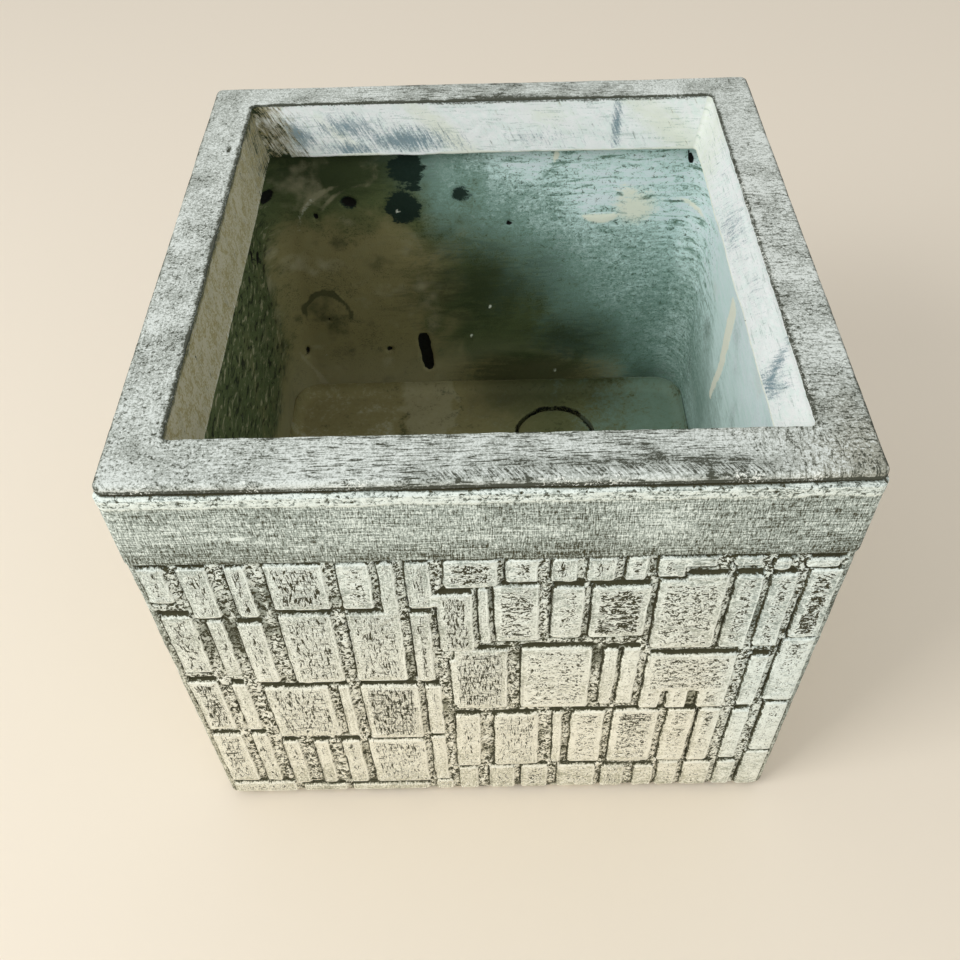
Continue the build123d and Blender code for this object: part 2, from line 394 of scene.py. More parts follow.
def ring_outline(half_x, half_y, middle_y, corner, straight, bend):
    """A whole rounded rectangle: straight sides of equal counts and quarter-circle corners. Returns its
    points, its outward normals and the side that each point is on."""
    points, normals, sides = [], [], []
    angle = np.linspace(0, QUARTER_TURN, bend + 2)[1:-1]
    for quarter in range(4):
        wide, deep = ((half_x, half_y), (half_y, half_x))[quarter % 2]
        run = np.linspace(-(wide - corner), wide - corner, straight)
        x = np.concatenate([run, wide - corner + corner * np.sin(angle)])
        y = np.concatenate([np.full(straight, -deep), -(deep - corner) - corner * np.cos(angle)])
        normal_x = np.concatenate([np.zeros(straight), np.sin(angle)])
        normal_y = np.concatenate([np.full(straight, -1.0), -np.cos(angle)])
        points.append(turned(np.stack([x, y], -1), quarter))
        normals.append(turned(np.stack([normal_x, normal_y], -1), quarter))
        sides.append(np.full(len(x), quarter))
    return np.concatenate(points) + (0, middle_y), np.concatenate(normals), np.concatenate(sides)


# ---------------------------------------------------------------- materials
class Shader:
    """A material being built. A method adds the nodes it needs and returns an output. Pattern sizes are
    millimetres; positions and the flow layer are read in metres."""

    def __init__(self, name):
        self.material = bpy.data.materials.new(name)
        self.material.use_nodes = True
        self.tree = self.material.node_tree
        self.surface = self.tree.nodes["Principled BSDF"]

    def link(self, source, socket):
        """Feeds a socket from an output, or sets it to a number or a colour."""
        if isinstance(source, bpy.types.NodeSocket):
            self.tree.links.new(source, socket)
        elif isinstance(source, (int, float)):
            socket.default_value = source
        else:
            socket.default_value = (*source, 1.0)

    def node(self, kind, *sources, **options):
        """Adds a node, sets its options and feeds its first inputs in order."""
        made = self.tree.nodes.new(kind)
        for key, value in options.items():
            setattr(made, key, value)
        for socket, source in zip(made.inputs, sources):
            self.link(source, socket)
        return made

    def layer(self, name, output="Fac"):
        """A layer of the mesh, read as a value or a vector."""
        return self.node("ShaderNodeAttribute", attribute_name=name).outputs[output]

    def layers(self, names):
        """The layers of those names, one value each."""
        return [self.layer(name) for name in names.split()]

    def flow(self):
        """The place along the surface: along the side, then up or across, then a place of the side's own."""
        return self.layer("flow", "Vector")

    def place(self):
        """The place in space."""
        return self.node("ShaderNodeTexCoord").outputs["Object"]

    def part(self, vector, axis):
        """One part of a vector: X, Y or Z."""
        return self.node("ShaderNodeSeparateXYZ", vector).outputs["XYZ".index(axis)]

    def math(self, operation, *values):
        """One sum on values or numbers."""
        return self.node("ShaderNodeMath", *values, operation=operation).outputs[0]

    def times(self, first, *others):
        """Multiplies values, from left to right."""
        for other in others:
            first = self.math("MULTIPLY", first, other)
        return first

    def sum(self, *terms):
        """Adds up values, each alone or with a factor as a pair."""
        total = None
        for term in terms:
            value = self.times(*term) if isinstance(term, tuple) else term
            total = value if total is None else self.math("ADD", total, value)
        return total

    def ease(self, value, low, high, start=0.0, end=1.0):
        """Eases from start to end while the value goes from low to high."""
        made = self.node("ShaderNodeMapRange", value, low, high, start, end, interpolation_type="SMOOTHSTEP")
        return made.outputs["Result"]

    def stretch(self, vector, sizes):
        """Divides a place by the pattern's size along each axis."""
        made = self.node("ShaderNodeVectorMath", vector, operation="MULTIPLY")
        made.inputs[1].default_value = tuple(MM / size for size in sizes)
        return made.outputs[0]

    def turn(self, vector, angle):
        """Turns a place about the upright axis, in radians."""
        made = self.node("ShaderNodeMapping", vector)
        made.inputs["Rotation"].default_value = (0, 0, angle)
        return made.outputs[0]

    def away(self, vector, x, y):
        """Distance from an upright axis."""
        made = self.node("ShaderNodeVectorMath", vector, operation="SUBTRACT")
        made.inputs[1].default_value = (x, y, 0)
        flat = self.node("ShaderNodeCombineXYZ", *(self.part(made.outputs[0], axis) for axis in "XY"))
        return self.node("ShaderNodeVectorMath", flat.outputs[0], operation="LENGTH").outputs["Value"]

    def noise(self, vector, sizes, detail=2.0, roughness=0.5, distortion=0.0):
        """Noise from 0 to 1, of one size all ways, or of two or three sizes along the axes."""
        sizes = sizes if isinstance(sizes, tuple) else (sizes,) * 3
        made = self.node("ShaderNodeTexNoise", self.stretch(vector, (*sizes, LONG)[:3]))
        numbers = {"Scale": 1.0, "Detail": detail, "Roughness": roughness, "Distortion": distortion}
        for label, number in numbers.items():
            made.inputs[label].default_value = number
        return made.outputs["Fac"]

    def twin(self, *pattern):
        """A noise, and the same less a half, which swings about zero."""
        value = self.noise(*pattern)
        return value, self.sum(value, -0.5)

    def swing(self, *pattern):
        """A noise that swings about zero."""
        return self.twin(*pattern)[1]

    def blend(self, share, first, second):
        """Mixes two colours or values by a share from 0 to 1."""
        made = self.node("ShaderNodeMix", share, data_type="RGBA", clamp_factor=True)
        self.link(first, made.inputs[MIX_FIRST])
        self.link(second, made.inputs[MIX_SECOND])
        return made.outputs[MIX_RESULT]

    def coats(self, ground, *coats):
        """Lays coats over a ground in order, each as its share from 0 to 1 and its colour."""
        for share, coat in coats:
            ground = self.blend(share, ground, coat)
        return ground

    def finish(self, coat, roughness, relief, depth, strength=1.0):
        """Colour, roughness, and a bump from a relief of 0 to 1 that stands for a depth in millimetres."""
        bump = self.node("ShaderNodeBump")
        bump.inputs["Strength"].default_value = strength
        bump.inputs["Distance"].default_value = depth / MM
        self.link(relief, bump.inputs["Height"])
        self.link(coat, self.surface.inputs["Base Color"])
        self.link(roughness, self.surface.inputs["Roughness"])
        self.link(bump.outputs["Normal"], self.surface.inputs["Normal"])
        self.link(SPECULAR, self.surface.inputs["Specular IOR Level"])
        return self.material


def mosaic_material(settings):
    """Dark cement under pale dry brushing. The brush leaves its paint on what stands out, and misses grooves,
    wrinkles and the fine scratches of the plain band. A painted highlight lies along the right, lower and
    upper lips of tiles and on the brows beside wrinkles, a painted shadow lies in the dark line ahead of
    each tile, and painted shade darkens the foot of the plain band. The paint is warmer low down and cooler
    towards the top and the right edge. Edges of tiles, the dark line ahead of each and the seam above the
    bead are drawn from distances in millimetres, frayed by noise."""
    m = Shader("mosaic_cement")
    flow, place = m.flow(), m.place()
    cover, band, bead, open_, inside, ahead = m.layers("cover band bead open inside ahead")
    lip, lift, wrinkle, upright, crumb = m.layers("lip lift wrinkle upright crumb")
    height = m.part(flow, "Y")
    pores = m.swing(place, 0.9, 3.0, 0.7, 0.3)
    folds = m.math("ABSOLUTE", m.swing(place, (7.0, 7.0, 3.0), 1.6, 0.5, 1.2))
    streaks = m.noise(flow, (1.0, 5.0), 3.0, 0.7, 0.9)
    cross = m.noise(flow, (7.0, 1.1), 3.0, 0.65, 0.9)
    lumps, lumpy = m.twin(place, 2.0, 2.5, 0.65, 0.8)
    upstrokes = m.swing(flow, (0.5, 5.5), 2.5, 0.7, 0.2)
    level = m.swing(flow, (20.0, 0.9), 2.5, 0.65, 0.2)
    patches = m.swing(place, (34.0, 34.0, 16.0), 3.0)
    # Tiles: wrinkled along their own grain, which is upright strokes or creases without a direction
    edge = m.sum(inside, (pores, 1.0), (lumpy, 1.2))
    on_tile = m.ease(edge, -0.1, 0.4)
    # Painted highlight: the lips along the right, lower and upper sides of each tile are brightened.
    highlight_lip = m.times(lip, m.ease(edge, 1.5, 0.9))
    creases = m.sum(0.42, (folds, 0.8), (lumpy, 0.22), (pores, 0.35))
    grain = m.blend(upright, creases, m.math("MINIMUM", streaks, m.sum(cross, 0.06)))
    wrinkle = m.times(wrinkle, m.ease(height, 0.0, 0.11, 0.55, 1.0))
    crease = m.sum(0.12, grain, (wrinkle, -0.13))
    # Painted highlight: a bright brow beside each wrinkle's dent.
    dent, highlight_brow = m.ease(crease, 0.50, 0.45), m.ease(crease, 0.60, 0.53)
    tile = m.sum(
        0.73, (highlight_lip, 0.6), (highlight_brow, 0.45), (dent, -1.6), (pores, 1.9), (patches, 0.7),
        (m.ease(height, 0.10, 0.20), -0.14), (m.ease(height, 0.05, 0.01), -0.2),
    )
    # Gaps: pale crumbs in dark cement, and the dark line ahead of each tile, a painted shadow
    crust = m.times(m.ease(m.sum(lumps, (pores, 0.4)), 0.45, 0.53), crumb)
    line = m.ease(m.sum(ahead, (pores, 1.0)), 1.7, 1.1)
    gap = m.sum(-0.05, (crust, 1.15), (line, -1.0), (m.ease(height, 0.13, 0.0), 0.12), (pores, 0.8))
    # Plain band, bead and seam
    # Painted shade: the plain band is darker towards its foot.
    band_foot = m.ease(height, 0.219, 0.238, -0.26, 0.0)
    on_band = m.sum((upstrokes, 2.2), (level, 1.5), (pores, 2.0), (patches, 0.7), -0.01, (band_foot, 1.0))
    grit = m.times(m.ease(lumps, 0.48, 0.40), -0.6)
    on_bead = m.sum(0.08, grit, (level, 2.2), (pores, 1.8))
    bare = m.ease(m.sum(lift, (pores, 0.9), (patches, 1.0)), -0.25, 0.2)
    found = m.coats(
        m.sum(cover, m.blend(bead, on_band, on_bead)),
        (open_, m.blend(on_tile, gap, tile)), (bare, m.sum(0.0, (pores, 0.6))),
    )
    cool = m.ease(m.sum(height, m.ease(m.part(flow, "X"), 0.095, 0.130, 0.0, 0.12)), 0.05, 0.26)
    coat = m.coats(
        settings.cement,
        (m.ease(found, 0.0, 0.5), m.blend(cool, settings.buff, settings.grey)),
        (m.ease(found, 0.45, 0.95), m.blend(cool, settings.cream, settings.cool)),
    )
    relief = m.sum((pores, 0.5), (m.times(grain, wrinkle), 2.0), (m.times(lumps, crumb), 1.4))
    scratches = m.sum((upstrokes, 0.6), (level, 0.3), (pores, 0.4))
    return m.finish(coat, m.ease(found, 0, 1, 0.95, 0.82), m.blend(band, relief, scratches), 0.7)


def rim_material(settings):
    """Brushed grey-green: streaks along the front and back rails, stipple on the left one, short cross
    strokes and crackle on the right one, hatching along the front edge, dark scratches and white chips. The
    pattern is calmer towards the back."""
    m = Shader("rim_cement")
    flow, place = m.flow(), m.place()
    dark, worn, hatched, chips = m.layers("dark worn hatched chips")
    stipple, dabs = m.twin(place, 1.5, 3.5, 0.75, 0.8)
    fine, specks = m.twin(place, 0.8, 2.0, 0.7)
    streaks, drift = m.twin(flow, (9.0, 0.9), 3.0, 0.7, 0.4)
    strokes = m.noise(flow, (1.2, 6.0), 2.0, 0.7, 0.6)
    hatch = m.swing(m.turn(place, -0.62), (0.72, 6.0), 2.0, 0.6)
    patches = m.swing(place, 20.0, 3.0)
    x = m.sum(m.part(place, "X"), (patches, 0.08))
    right, left = m.ease(x, 0.07, 0.13), m.ease(x, -0.045, -0.125)
    rails = m.sum((m.ease(streaks, 0.48, 0.40), -0.6), (drift, 1.5), (dabs, 1.5))
    stippled = m.sum((m.ease(stipple, 0.46, 0.39), -0.42), (dabs, 1.6), (drift, 0.9))
    crackle = m.ease(stipple, 0.43, 0.37)
    crossed = m.sum((m.ease(strokes, 0.46, 0.40), -0.5), (crackle, -0.5), (dabs, 1.5))
    pattern = m.coats(
        rails, (left, stippled), (right, crossed), (m.times(hatched, 0.75), m.sum((hatch, 4.2), -0.1))
    )
    calm = m.ease(m.part(place, "Y"), 0.0, 0.13, 1.0, 0.6)
    found = m.sum(
        0.66, (pattern, calm), (specks, 2.0), (patches, 1.4), (right, 0.1), (dark, -1.0), (worn, -0.2)
    )
    fleck = m.times(m.ease(m.sum(stipple, (specks, 0.4)), 0.55, 0.59), chips)
    coat = m.coats(
        settings.cement,
        (m.ease(found, -0.05, 0.5), m.blend(worn, settings.grey, settings.bare)),
        (m.ease(found, 0.5, 1.05), settings.brushed),
        (fleck, settings.chip),
    )
    relief = m.sum((stipple, 0.5), (fine, 0.4), (streaks, 0.4))
    return m.finish(coat, m.ease(found, 0, 1, 0.95, 0.78), relief, 0.4, 0.8)


def hollow_material(settings):
    """Raw cement from moss to umber under a mottled sea-green and mint wash, which also carries painted light
    on the lit walls and turns to a bluish-white painted highlight where that is strongest, with painted shade
    together with damp dark cement, moss blots, scuffs, flecks, stains, splashes and pits, and dry sand along
    the foot."""
    m = Shader("hollow_cement")
    flow = m.flow()
    wash, dark, warm, fleck, stain = m.layers("wash dark warm fleck stain")
    pit, chalk, mossy, scuff = m.layers("pit chalk mossy scuff")
    mottle = m.swing(flow, (2.8, 2.4), 4.0, 0.72, 0.9)
    fine = m.swing(flow, 0.9, 2.0, 0.6)
    smears = m.swing(flow, (18.0, 3.4), 3.0, 0.6, 0.9)
    clouds = m.swing(flow, 26.0, 3.0, 0.55, 0.8)
    blots = m.swing(flow, (9.0, 5.0), 3.0, 0.7, 0.6)
    smeared = m.times(smears, m.ease(wash, 0.6, 1.0))
    rough = m.sum((mottle, 1.6), (fine, 0.6), (smears, 0.6), (smeared, 2.2))
    found = m.sum(wash, m.times(rough, m.sum(fleck, 0.08)), (clouds, 0.35))
    tint = m.ease(m.sum(warm, (clouds, 1.2), (mottle, 0.3)), 0.1, 0.9)
    sunken = m.ease(m.sum((mottle, 0.8), (fine, 0.8), (clouds, 0.6)), -0.02, -0.3, 0.0, 0.6)
    # Painted shade together with damp dark cement, from the dark layer.
    painted_shade_and_damp = m.ease(m.sum(dark, (smears, 1.1), (mottle, 1.1)), 0.0, 1.0, 0.0, 0.75)
    pale_blots = m.times(m.ease(blots, 0.06, 0.16), m.ease(mossy, 0.0, 1.0, 0.0, 0.7))
    dark_blots = m.times(m.ease(blots, -0.04, -0.12), m.ease(mossy, 0.0, 1.0, 0.0, 0.85))
    scuffed = m.sum(scuff, (mottle, 0.5))
    bare = m.times(m.ease(wash, 0.4, 0.1), m.ease(dark, 0.6, 0.1))
    foot = m.times(m.ease(m.part(flow, "Y"), 0.100, 0.048, 0.0, 0.4), bare)
    flecks = m.times(m.ease(m.sum(mottle, (fine, 0.5)), -0.08, -0.2), m.ease(fleck, 0.4, 0.9, 0.0, 0.85))
    coat = m.coats(
        settings.moss,
        (tint, settings.umber),
        (sunken, settings.deep),
        (m.ease(found, 0.0, 0.5), settings.sea),
        (m.ease(found, 0.4, 1.05), settings.mint),
        # Painted highlight: bluish white where the wash and its painted light are strongest.
        (m.ease(found, 0.95, 1.45), settings.highlight_frost),
        (painted_shade_and_damp, settings.deep),
        (pale_blots, settings.sand),
        (dark_blots, settings.pit),
        (m.ease(scuffed, 0.2, 1.0, 0.0, 0.6), settings.sand),
        (m.ease(scuffed, -0.2, -1.0, 0.0, 0.7), settings.deep),
        (foot, settings.sand),
        (flecks, settings.deep),
        (m.ease(m.sum(stain, (mottle, 1.6), (smears, 1.6)), 0.2, 0.7, 0.0, 0.97), settings.teal),
        (m.ease(m.sum(chalk, (mottle, 2.4), (smears, 1.6)), -0.3, 1.2), settings.chalk),
        (m.ease(m.sum(pit, (fine, 0.5), (mottle, 0.3)), 0.3, 0.6), settings.pit),
    )
    relief = m.sum((mottle, 0.6), (fine, 0.3), (smears, 0.3))
    return m.finish(coat, m.ease(mottle, -0.2, 0.2, 0.7, 0.92), relief, 0.5, 0.7)


def lining_material(settings):
    """White and pale mint paint with ivory patches, level sea-green streaks and blue-grey smears, worn thin
    over bare cement on the front and left sides and in the back left corner, with dark strokes over it, a
    dark seam line along the top that widens on the left into painted shade, painted shade under the lip, and
    a painted highlight in ivory along the lip's lower edge."""
    m = Shader("lining_cement")
    flow = m.flow()
    blue, bare, dark, seam, cream = m.layers("blue bare dark seam cream")
    strokes, drift = m.twin(flow, (1.3, 9.0), 3.0, 0.65, 0.5)
    fine, specks = m.twin(flow, 0.9, 2.0, 0.6)
    mottle, clouds = m.twin(flow, 6.0, 4.0, 0.65, 0.9)
    level = m.noise(flow, (14.0, 1.4), 3.0, 0.6, 0.6)
    smear = m.sum(blue, (drift, 2.2), (specks, 1.4))
    thin = m.sum(0.5, (drift, 1.2), (specks, 3.0), (clouds, 3.4))
    raw = m.blend(m.ease(thin, 0.05, 0.7), settings.umber, settings.stone)
    brushed = m.sum(dark, (drift, 2.0), (specks, 1.0), (clouds, 0.8))
    coat = m.coats(
        settings.white,
        (m.ease(mottle, 0.35, 0.68), settings.pale),
        # Ivory patches, and the painted highlight along the lip's lower edge.
        (m.ease(m.sum(cream, (clouds, 0.9)), 0.15, 0.95), settings.ivory),
        (m.ease(m.sum(level, (fine, 0.4)), 0.62, 0.52, 0.0, 0.38), settings.sea),
        (m.ease(smear, 0.3, 1.3), settings.blue),
        (m.ease(m.sum(bare, (clouds, 0.8), (drift, 1.6)), 0.15, 0.85), raw),
        (m.ease(brushed, 0.35, 0.85), settings.deep),
        # Dark seam along the top, widened into painted shade on the left, and painted shade under the lip.
        (m.ease(m.sum(seam, (specks, 1.2)), 0.3, 0.75, 0.0, 0.9), settings.deep),
    )
    relief = m.sum((strokes, 0.6), (fine, 0.4), (mottle, 0.3))
    return m.finish(coat, m.ease(mottle, 0.3, 0.7, 0.75, 0.9), relief, 0.4, 0.8)


def floor_material(name, settings):
    """Damp olive-brown cement, darker at the far end, with pale water marks, a sand patch on the left, a
    sea-green wash to the right, dark pores, and a dark worn ring round the plug. Places are metres."""
    m = Shader(name)
    place = m.place()
    clouds = m.swing(place, 26.0, 3.0, 0.55, 0.9)
    mottle = m.swing(place, 3.2, 4.0, 0.68, 0.6)
    fine = m.swing(place, 0.9, 2.0, 0.6)
    across = m.sum(m.part(place, "X"), (clouds, 0.04))
    back = m.sum(m.part(place, "Y"), (clouds, 0.05))
    grain = m.sum((clouds, 1.0), (mottle, 0.8), (fine, 0.3))
    marks = m.times(m.ease(grain, 0.0, 0.35), m.ease(across, 0.02, -0.06, 0.25, 1.0))
    patch = m.times(
        m.ease(across, -0.066, -0.058), m.ease(across, -0.024, -0.027), m.ease(back, 0.055, 0.085, 0.0, 0.45)
    )
    washed = m.sum(m.ease(across, 0.02, 0.13, -0.15, 0.6), (mottle, 1.3), (fine, 0.5), (clouds, 0.9))
    middle = m.times(m.ease(across, -0.03, 0.01), m.ease(across, 0.115, 0.07))
    far = m.times(m.ease(back, 0.100, 0.132), middle)
    radius = m.sum(m.away(place, *PLUG_MIDDLE[:2] / MM), (clouds, 0.012), (mottle, 0.004))
    ring = m.times(
        m.ease(radius, 0.0255, 0.0264), m.ease(radius, 0.0290, 0.0280),
        m.ease(m.part(place, "Z"), 0.030, 0.034), m.ease(m.sum(mottle, fine), -0.18, -0.02),
    )
    coat = m.coats(
        settings.moss,
        (m.ease(across, -0.01, 0.05, 1.0, 0.35), settings.umber),
        (marks, settings.sand),
        (patch, settings.sand),
        (m.ease(washed, 0.0, 0.7, 0.0, 0.7), settings.sea),
        (m.times(far, 0.55), settings.deep),
        (m.ease(grain, -0.05, -0.35, 0.0, 0.7), settings.deep),
        (ring, settings.pit),
    )
    relief = m.sum((mottle, 0.6), (fine, 0.4))
    return m.finish(coat, m.ease(clouds, -0.2, 0.2, 0.65, 0.9), relief, 0.5, 0.7)


# ---------------------------------------------------------------- both halves of a wall
def wall_face(quarter, half, corner, step):
    """A wall's face before it is worked: distance along it and height, its points, and their outward normals
    in plan, on a grid that runs from mitre to mitre and from the ground to the cap."""
    columns, rows = int(2 * half / step), int(CAP_LOW / step)
    s, outline, normal = side_outline(columns, half, corner)
    s, z = np.meshgrid(s, np.linspace(0, CAP_LOW, rows), indexing="ij")
    face = np.concatenate([np.repeat(outline[:, None], rows, 1), z[..., None]], -1)
    return s, z, turned(face, quarter), turned(normal, quarter)[:, None]


def close_wall(kind, quarter, s, face, made, material):
    """Closes a face with a flat back in the middle of the wall, a foot and a head, and settles the piece."""
    back = np.zeros((len(face), 2, 3))
    back[..., 0] = s[:, :1] / s.max() * WALL_MIDDLE
    back[..., 1] = -WALL_MIDDLE
    back[:, 0, 2] = CAP_LOW
    points = np.concatenate([face, turned(back, quarter)], 1)
    last_twice = [*range(face.shape[1]), -1, -1]
    made = {label: values[:, last_twice] for label, values in made.items()}
    piece = grid_object(f"{kind}_{SIDES[quarter]}", points, False, True, made)
    settle(piece, material, f"wall_{SIDES[quarter]}")


# ---------------------------------------------------------------- outer walls
def outline_place(x, y, half, corner):
    """Where points of the front lie on its rounded outline: distance along it, and height off it."""
    flat = half - corner
    past_x, past_y = np.maximum(np.abs(x) - flat, 0), np.maximum(-y - flat, 0)
    along = np.sign(x) * (np.minimum(np.abs(x), flat) + corner * np.arctan2(past_x, past_y))
    return along, np.hypot(past_x, past_y) - corner


def mosaic_tiles(half, corner):
    """The tiles as the frame's front wall has them: its flat tops below the plain band, joined where they
    share a corner, each as the box (left, right, foot, head) of its top. One that meets the mitre runs on."""
    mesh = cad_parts["wall_front"].data
    mesh.calc_loop_triangles()
    place = np.zeros(len(mesh.vertices) * 3, np.float32)
    mesh.vertices.foreach_get("co", place)
    place = place.reshape(-1, 3) * MM
    triangles = np.zeros(len(mesh.loop_triangles) * 3, np.int32)
    mesh.loop_triangles.foreach_get("vertices", triangles)
    triangles = triangles.reshape(-1, 3)
    along, off = outline_place(place[:, 0], place[:, 1], half, corner)
    keys = np.round(np.stack([along, place[:, 2], off], -1) * 20).astype(np.int64)   # twentieths of a mm
    shared = np.unique(keys, axis=0, return_inverse=True)[1].reshape(-1)
    # Flat faces close under the plain band's level, that are tall enough not to be slivers
    on_top = (off[triangles] > -0.6).all(1) & (np.ptp(off[triangles], axis=1) < 0.1)
    on_top &= (place[triangles, 2] < TILE_CEILING).all(1) & (np.ptp(place[triangles, 2], axis=1) > 0.2)
    tops = shared[triangles[on_top]]
    # Each corner takes the lowest label of the triangles that it is on, until nothing changes
    label = np.arange(shared.max() + 1)
    for _ in range(len(tops)):
        before = label.copy()
        np.minimum.at(label, tops.reshape(-1), np.repeat(label[tops].min(1), 3))
        if (label == before).all():
            break
    tiles = []
    s, z = along[triangles[on_top]], place[triangles[on_top], 2]
    mitre = half - corner + corner * math.pi / 4
    for name in np.unique(label[tops[:, 0]]):
        own = label[tops[:, 0]] == name
        left, right, foot, head = s[own].min(), s[own].max(), z[own].min(), z[own].max()
        left = left - PAST_MITRE if left < -mitre + 0.5 else left
        right = right + PAST_MITRE if right > mitre - 0.5 else right
        tiles.append((left, right, foot, head))
    return tiles


def tile_field(s, z, tiles):
    """What each place on the wall has to do with the tiles: distance inside the nearest one, that of a box
    with rounded corners and negative outside; how far the nearest one is sideways and up or down; how far
    ahead the next one's left side is; a lip along right, lower and upper sides, which marks a painted
    highlight; and the nearest tile's own rise, roughness and way of its grain."""
    rng = np.random.default_rng(TILE_SEED)
    inside, beside, stacked = (np.full(s.shape, -FAR) for _ in range(3))
    ahead = np.full(s.shape, FAR)
    lip, rise, rough, upright = (np.zeros(s.shape) for _ in range(4))
    for left, right, foot, head in tiles:
        right, head, foot = right + 0.8, head + 0.9, foot - 0.5   # a little wider and taller than its CAD top
        own_rise, own_rough = rng.uniform(0.8, 1.0), rng.uniform(0.45, 1.0)
        own_upright = float(rng.uniform() < 0.55 - (left + right) / 350)   # commoner on the left
        lean = rng.normal(0, 0.006)
        x = s - lean * (z - (foot + head) / 2)
        across, up = np.minimum(x - left, right - x), np.minimum(z - foot, head - z)
        gap_x, gap_z = TILE_ROUND - across, TILE_ROUND - up
        outside = np.hypot(np.maximum(gap_x, 0), np.maximum(gap_z, 0))
        depth = TILE_ROUND - (outside + np.minimum(np.maximum(gap_x, gap_z), 0))
        nearer = depth > inside
        inside = np.where(nearer, depth, inside)
        # The lip marks a painted highlight along the right, lower and upper sides.
        level_highlight_lips = np.maximum(ridge(z - foot, 0.8), 0.4 * ridge(head - z, 0.8))
        own_highlight_lip = np.maximum(ridge(right - x, 0.6), level_highlight_lips)
        for field, own in ((rise, own_rise), (rough, own_rough), (upright, own_upright), (lip, own_highlight_lip)):
            np.copyto(field, own, where=nearer)
        beside = np.maximum(beside, np.where(up > 0, across, -FAR))
        stacked = np.maximum(stacked, np.where(across > 0, up, -FAR))
        ahead = np.where((up > -0.4) & (x < left + 0.6), np.minimum(ahead, left - x), ahead)
    return inside, beside, stacked, ahead, lip, rise, rough, upright


def mosaic_relief(s, z, place, tiles, settings):
    """Height of the tiles and the gaps, and their layers. Each tile rises from the groove by an eased step to
    a thin lip, on which a painted highlight goes, with a wrinkled middle; the wrinkles fade low on the right.
    Level grooves are clean and dark. Upright gaps are filled with crumbs up to a clean line before the next
    tile, which the material darkens as a painted shadow."""
    wander = settings.wander * MM
    s_bent = s + wander * layers(place, 16, seed=3) + 0.5 * wander * noise(place, 4, seed=5)
    z_bent = z + 1.4 * wander * layers(place, 22, seed=7) + 0.5 * wander * noise(place, 4, seed=9)
    inside, beside, stacked, ahead, lip, rise, rough, upright = tile_field(s_bent, z_bent, tiles)
    inside = inside + TILE_GROWTH
    on_tile = smooth((inside + 0.5) / (settings.edge * MM))
    middle = smooth((inside - 1.7) / 2.6)
    wrinkles = noise(place * (0.9, 0.9, 1.1), 2.3, seed=11) + 0.5 * noise(place, 1.3, seed=13)
    crumbs = noise(place, 2.3, seed=19) + 0.5 * noise(place, 1.2, seed=23)
    crusted = passing(beside - stacked, 2) * smooth(0.82 + 0.9 * layers(place, 24, seed=29))
    crusted = np.maximum(crusted, 0.75 * smooth((-inside - 1.9) / 1.4 + 0.3 * layers(place, 9, seed=191)))
    dark_line = smooth(1.5 - (ahead - 0.8) / 0.95) * smooth(0.85 + 0.8 * noise(place, 13, seed=33))
    groove = -settings.groove * MM * (1 + 0.08 * layers(place, 14, seed=31))
    groove = groove + crusted * (1 - dark_line) * settings.crust * MM * (0.9 + 0.55 * crumbs)
    crackle = settings.crackle * MM * middle * (0.45 + 0.55 * rough)
    top = -(1 - rise) * 1.1 + 0.12 * lip + crackle * (wrinkles - 0.35)
    calm = 0.55 * smooth((s - 104) / 20) * smooth((160 - z) / 40)
    return mix(on_tile, groove, top), {
        "inside": np.clip(inside, -3, 3), "ahead": np.clip(ahead, -1, 4), "lip": lip, "upright": upright,
        "crumb": crusted, "wrinkle": middle * rough * (1 - calm),
    }


def wall_relief(s, z, place, tiles, settings):
    """Height of the outer face off the plain band, and what the brush finds on it: the mosaic, the worn
    corners, the plain band, the rough bead, a white chip below it, and the open seam. Nothing goes deeper
    than the wall allows, and that is less towards the corners. All noise is taken at the place in space, so
    that two walls agree where they meet. Returns the height and the layers: cover is how much paint the
    brush leaves, and the others say where each pattern applies."""
    height, made = mosaic_relief(s, z, place, tiles, settings)
    cover = 0.66 + 0.3 * layers(place, 12, seed=41)

    to_mitre = s.max() - np.abs(s)
    at_corner = near(to_mitre, 4.5, fullness=1.2)
    height = mix(at_corner, height, -0.9 + 0.5 * layers(place, 9, seed=37))

    band_foot = BAND_FOOT - 1.6 + 0.9 * layers(place * (1, 1, 0.2), 26, seed=43)
    band = passing(z - band_foot, 1.3)
    plain = 0.16 * layers(place, 26, seed=47) + 0.05 * noise(place, 1.6, seed=53) - 0.12
    height = mix(band, height, plain)
    cover = mix(band, cover, 0.54)

    bead_head = CAP_LOW - SEAM_HEIGHT + 0.5 * layers(place * (1, 1, 0.1), 20, seed=59)
    bead_foot = bead_head - BEAD_HEIGHT + 0.9 * layers(place * (1, 1, 0.1), 13, seed=61)
    bead = passing(z - bead_foot, 1.6)
    lumps = layers(place, 3.2, seed=67)
    height = height + bead * (settings.proud * MM * 0.55 + 0.28 * lumps)
    chip = smooth(3 * spot(s, z, -100, 236.5, 4.0, 0.9)) * (place[..., 1] < 0)
    on_bead = 0.82 - 0.12 * smooth((s - 10) / 90) + 0.35 * lumps + 0.35 * ridge(z - bead_foot, 0.9)
    cover = mix(bead, cover + 0.9 * chip, on_bead)

    height = mix(passing(z - bead_head, 1.1), height, -settings.seam * MM)
    foot = settings.foot * MM
    under = np.maximum(foot - z, 0)
    height = height - (foot - np.sqrt(np.maximum(foot**2 - under**2, 0)))
    deepest = settings.corner * MM - 0.2 + 6 * smooth((to_mitre - 3.6) / 12)
    height = np.clip(height, -deepest, settings.proud * MM - 0.02)
    return height, {
        **made, "cover": cover, "band": band * (1 - bead), "bead": bead, "open": (1 - band) * (1 - at_corner),
        "lift": np.clip(z - bead_head, -4, 4),
    }


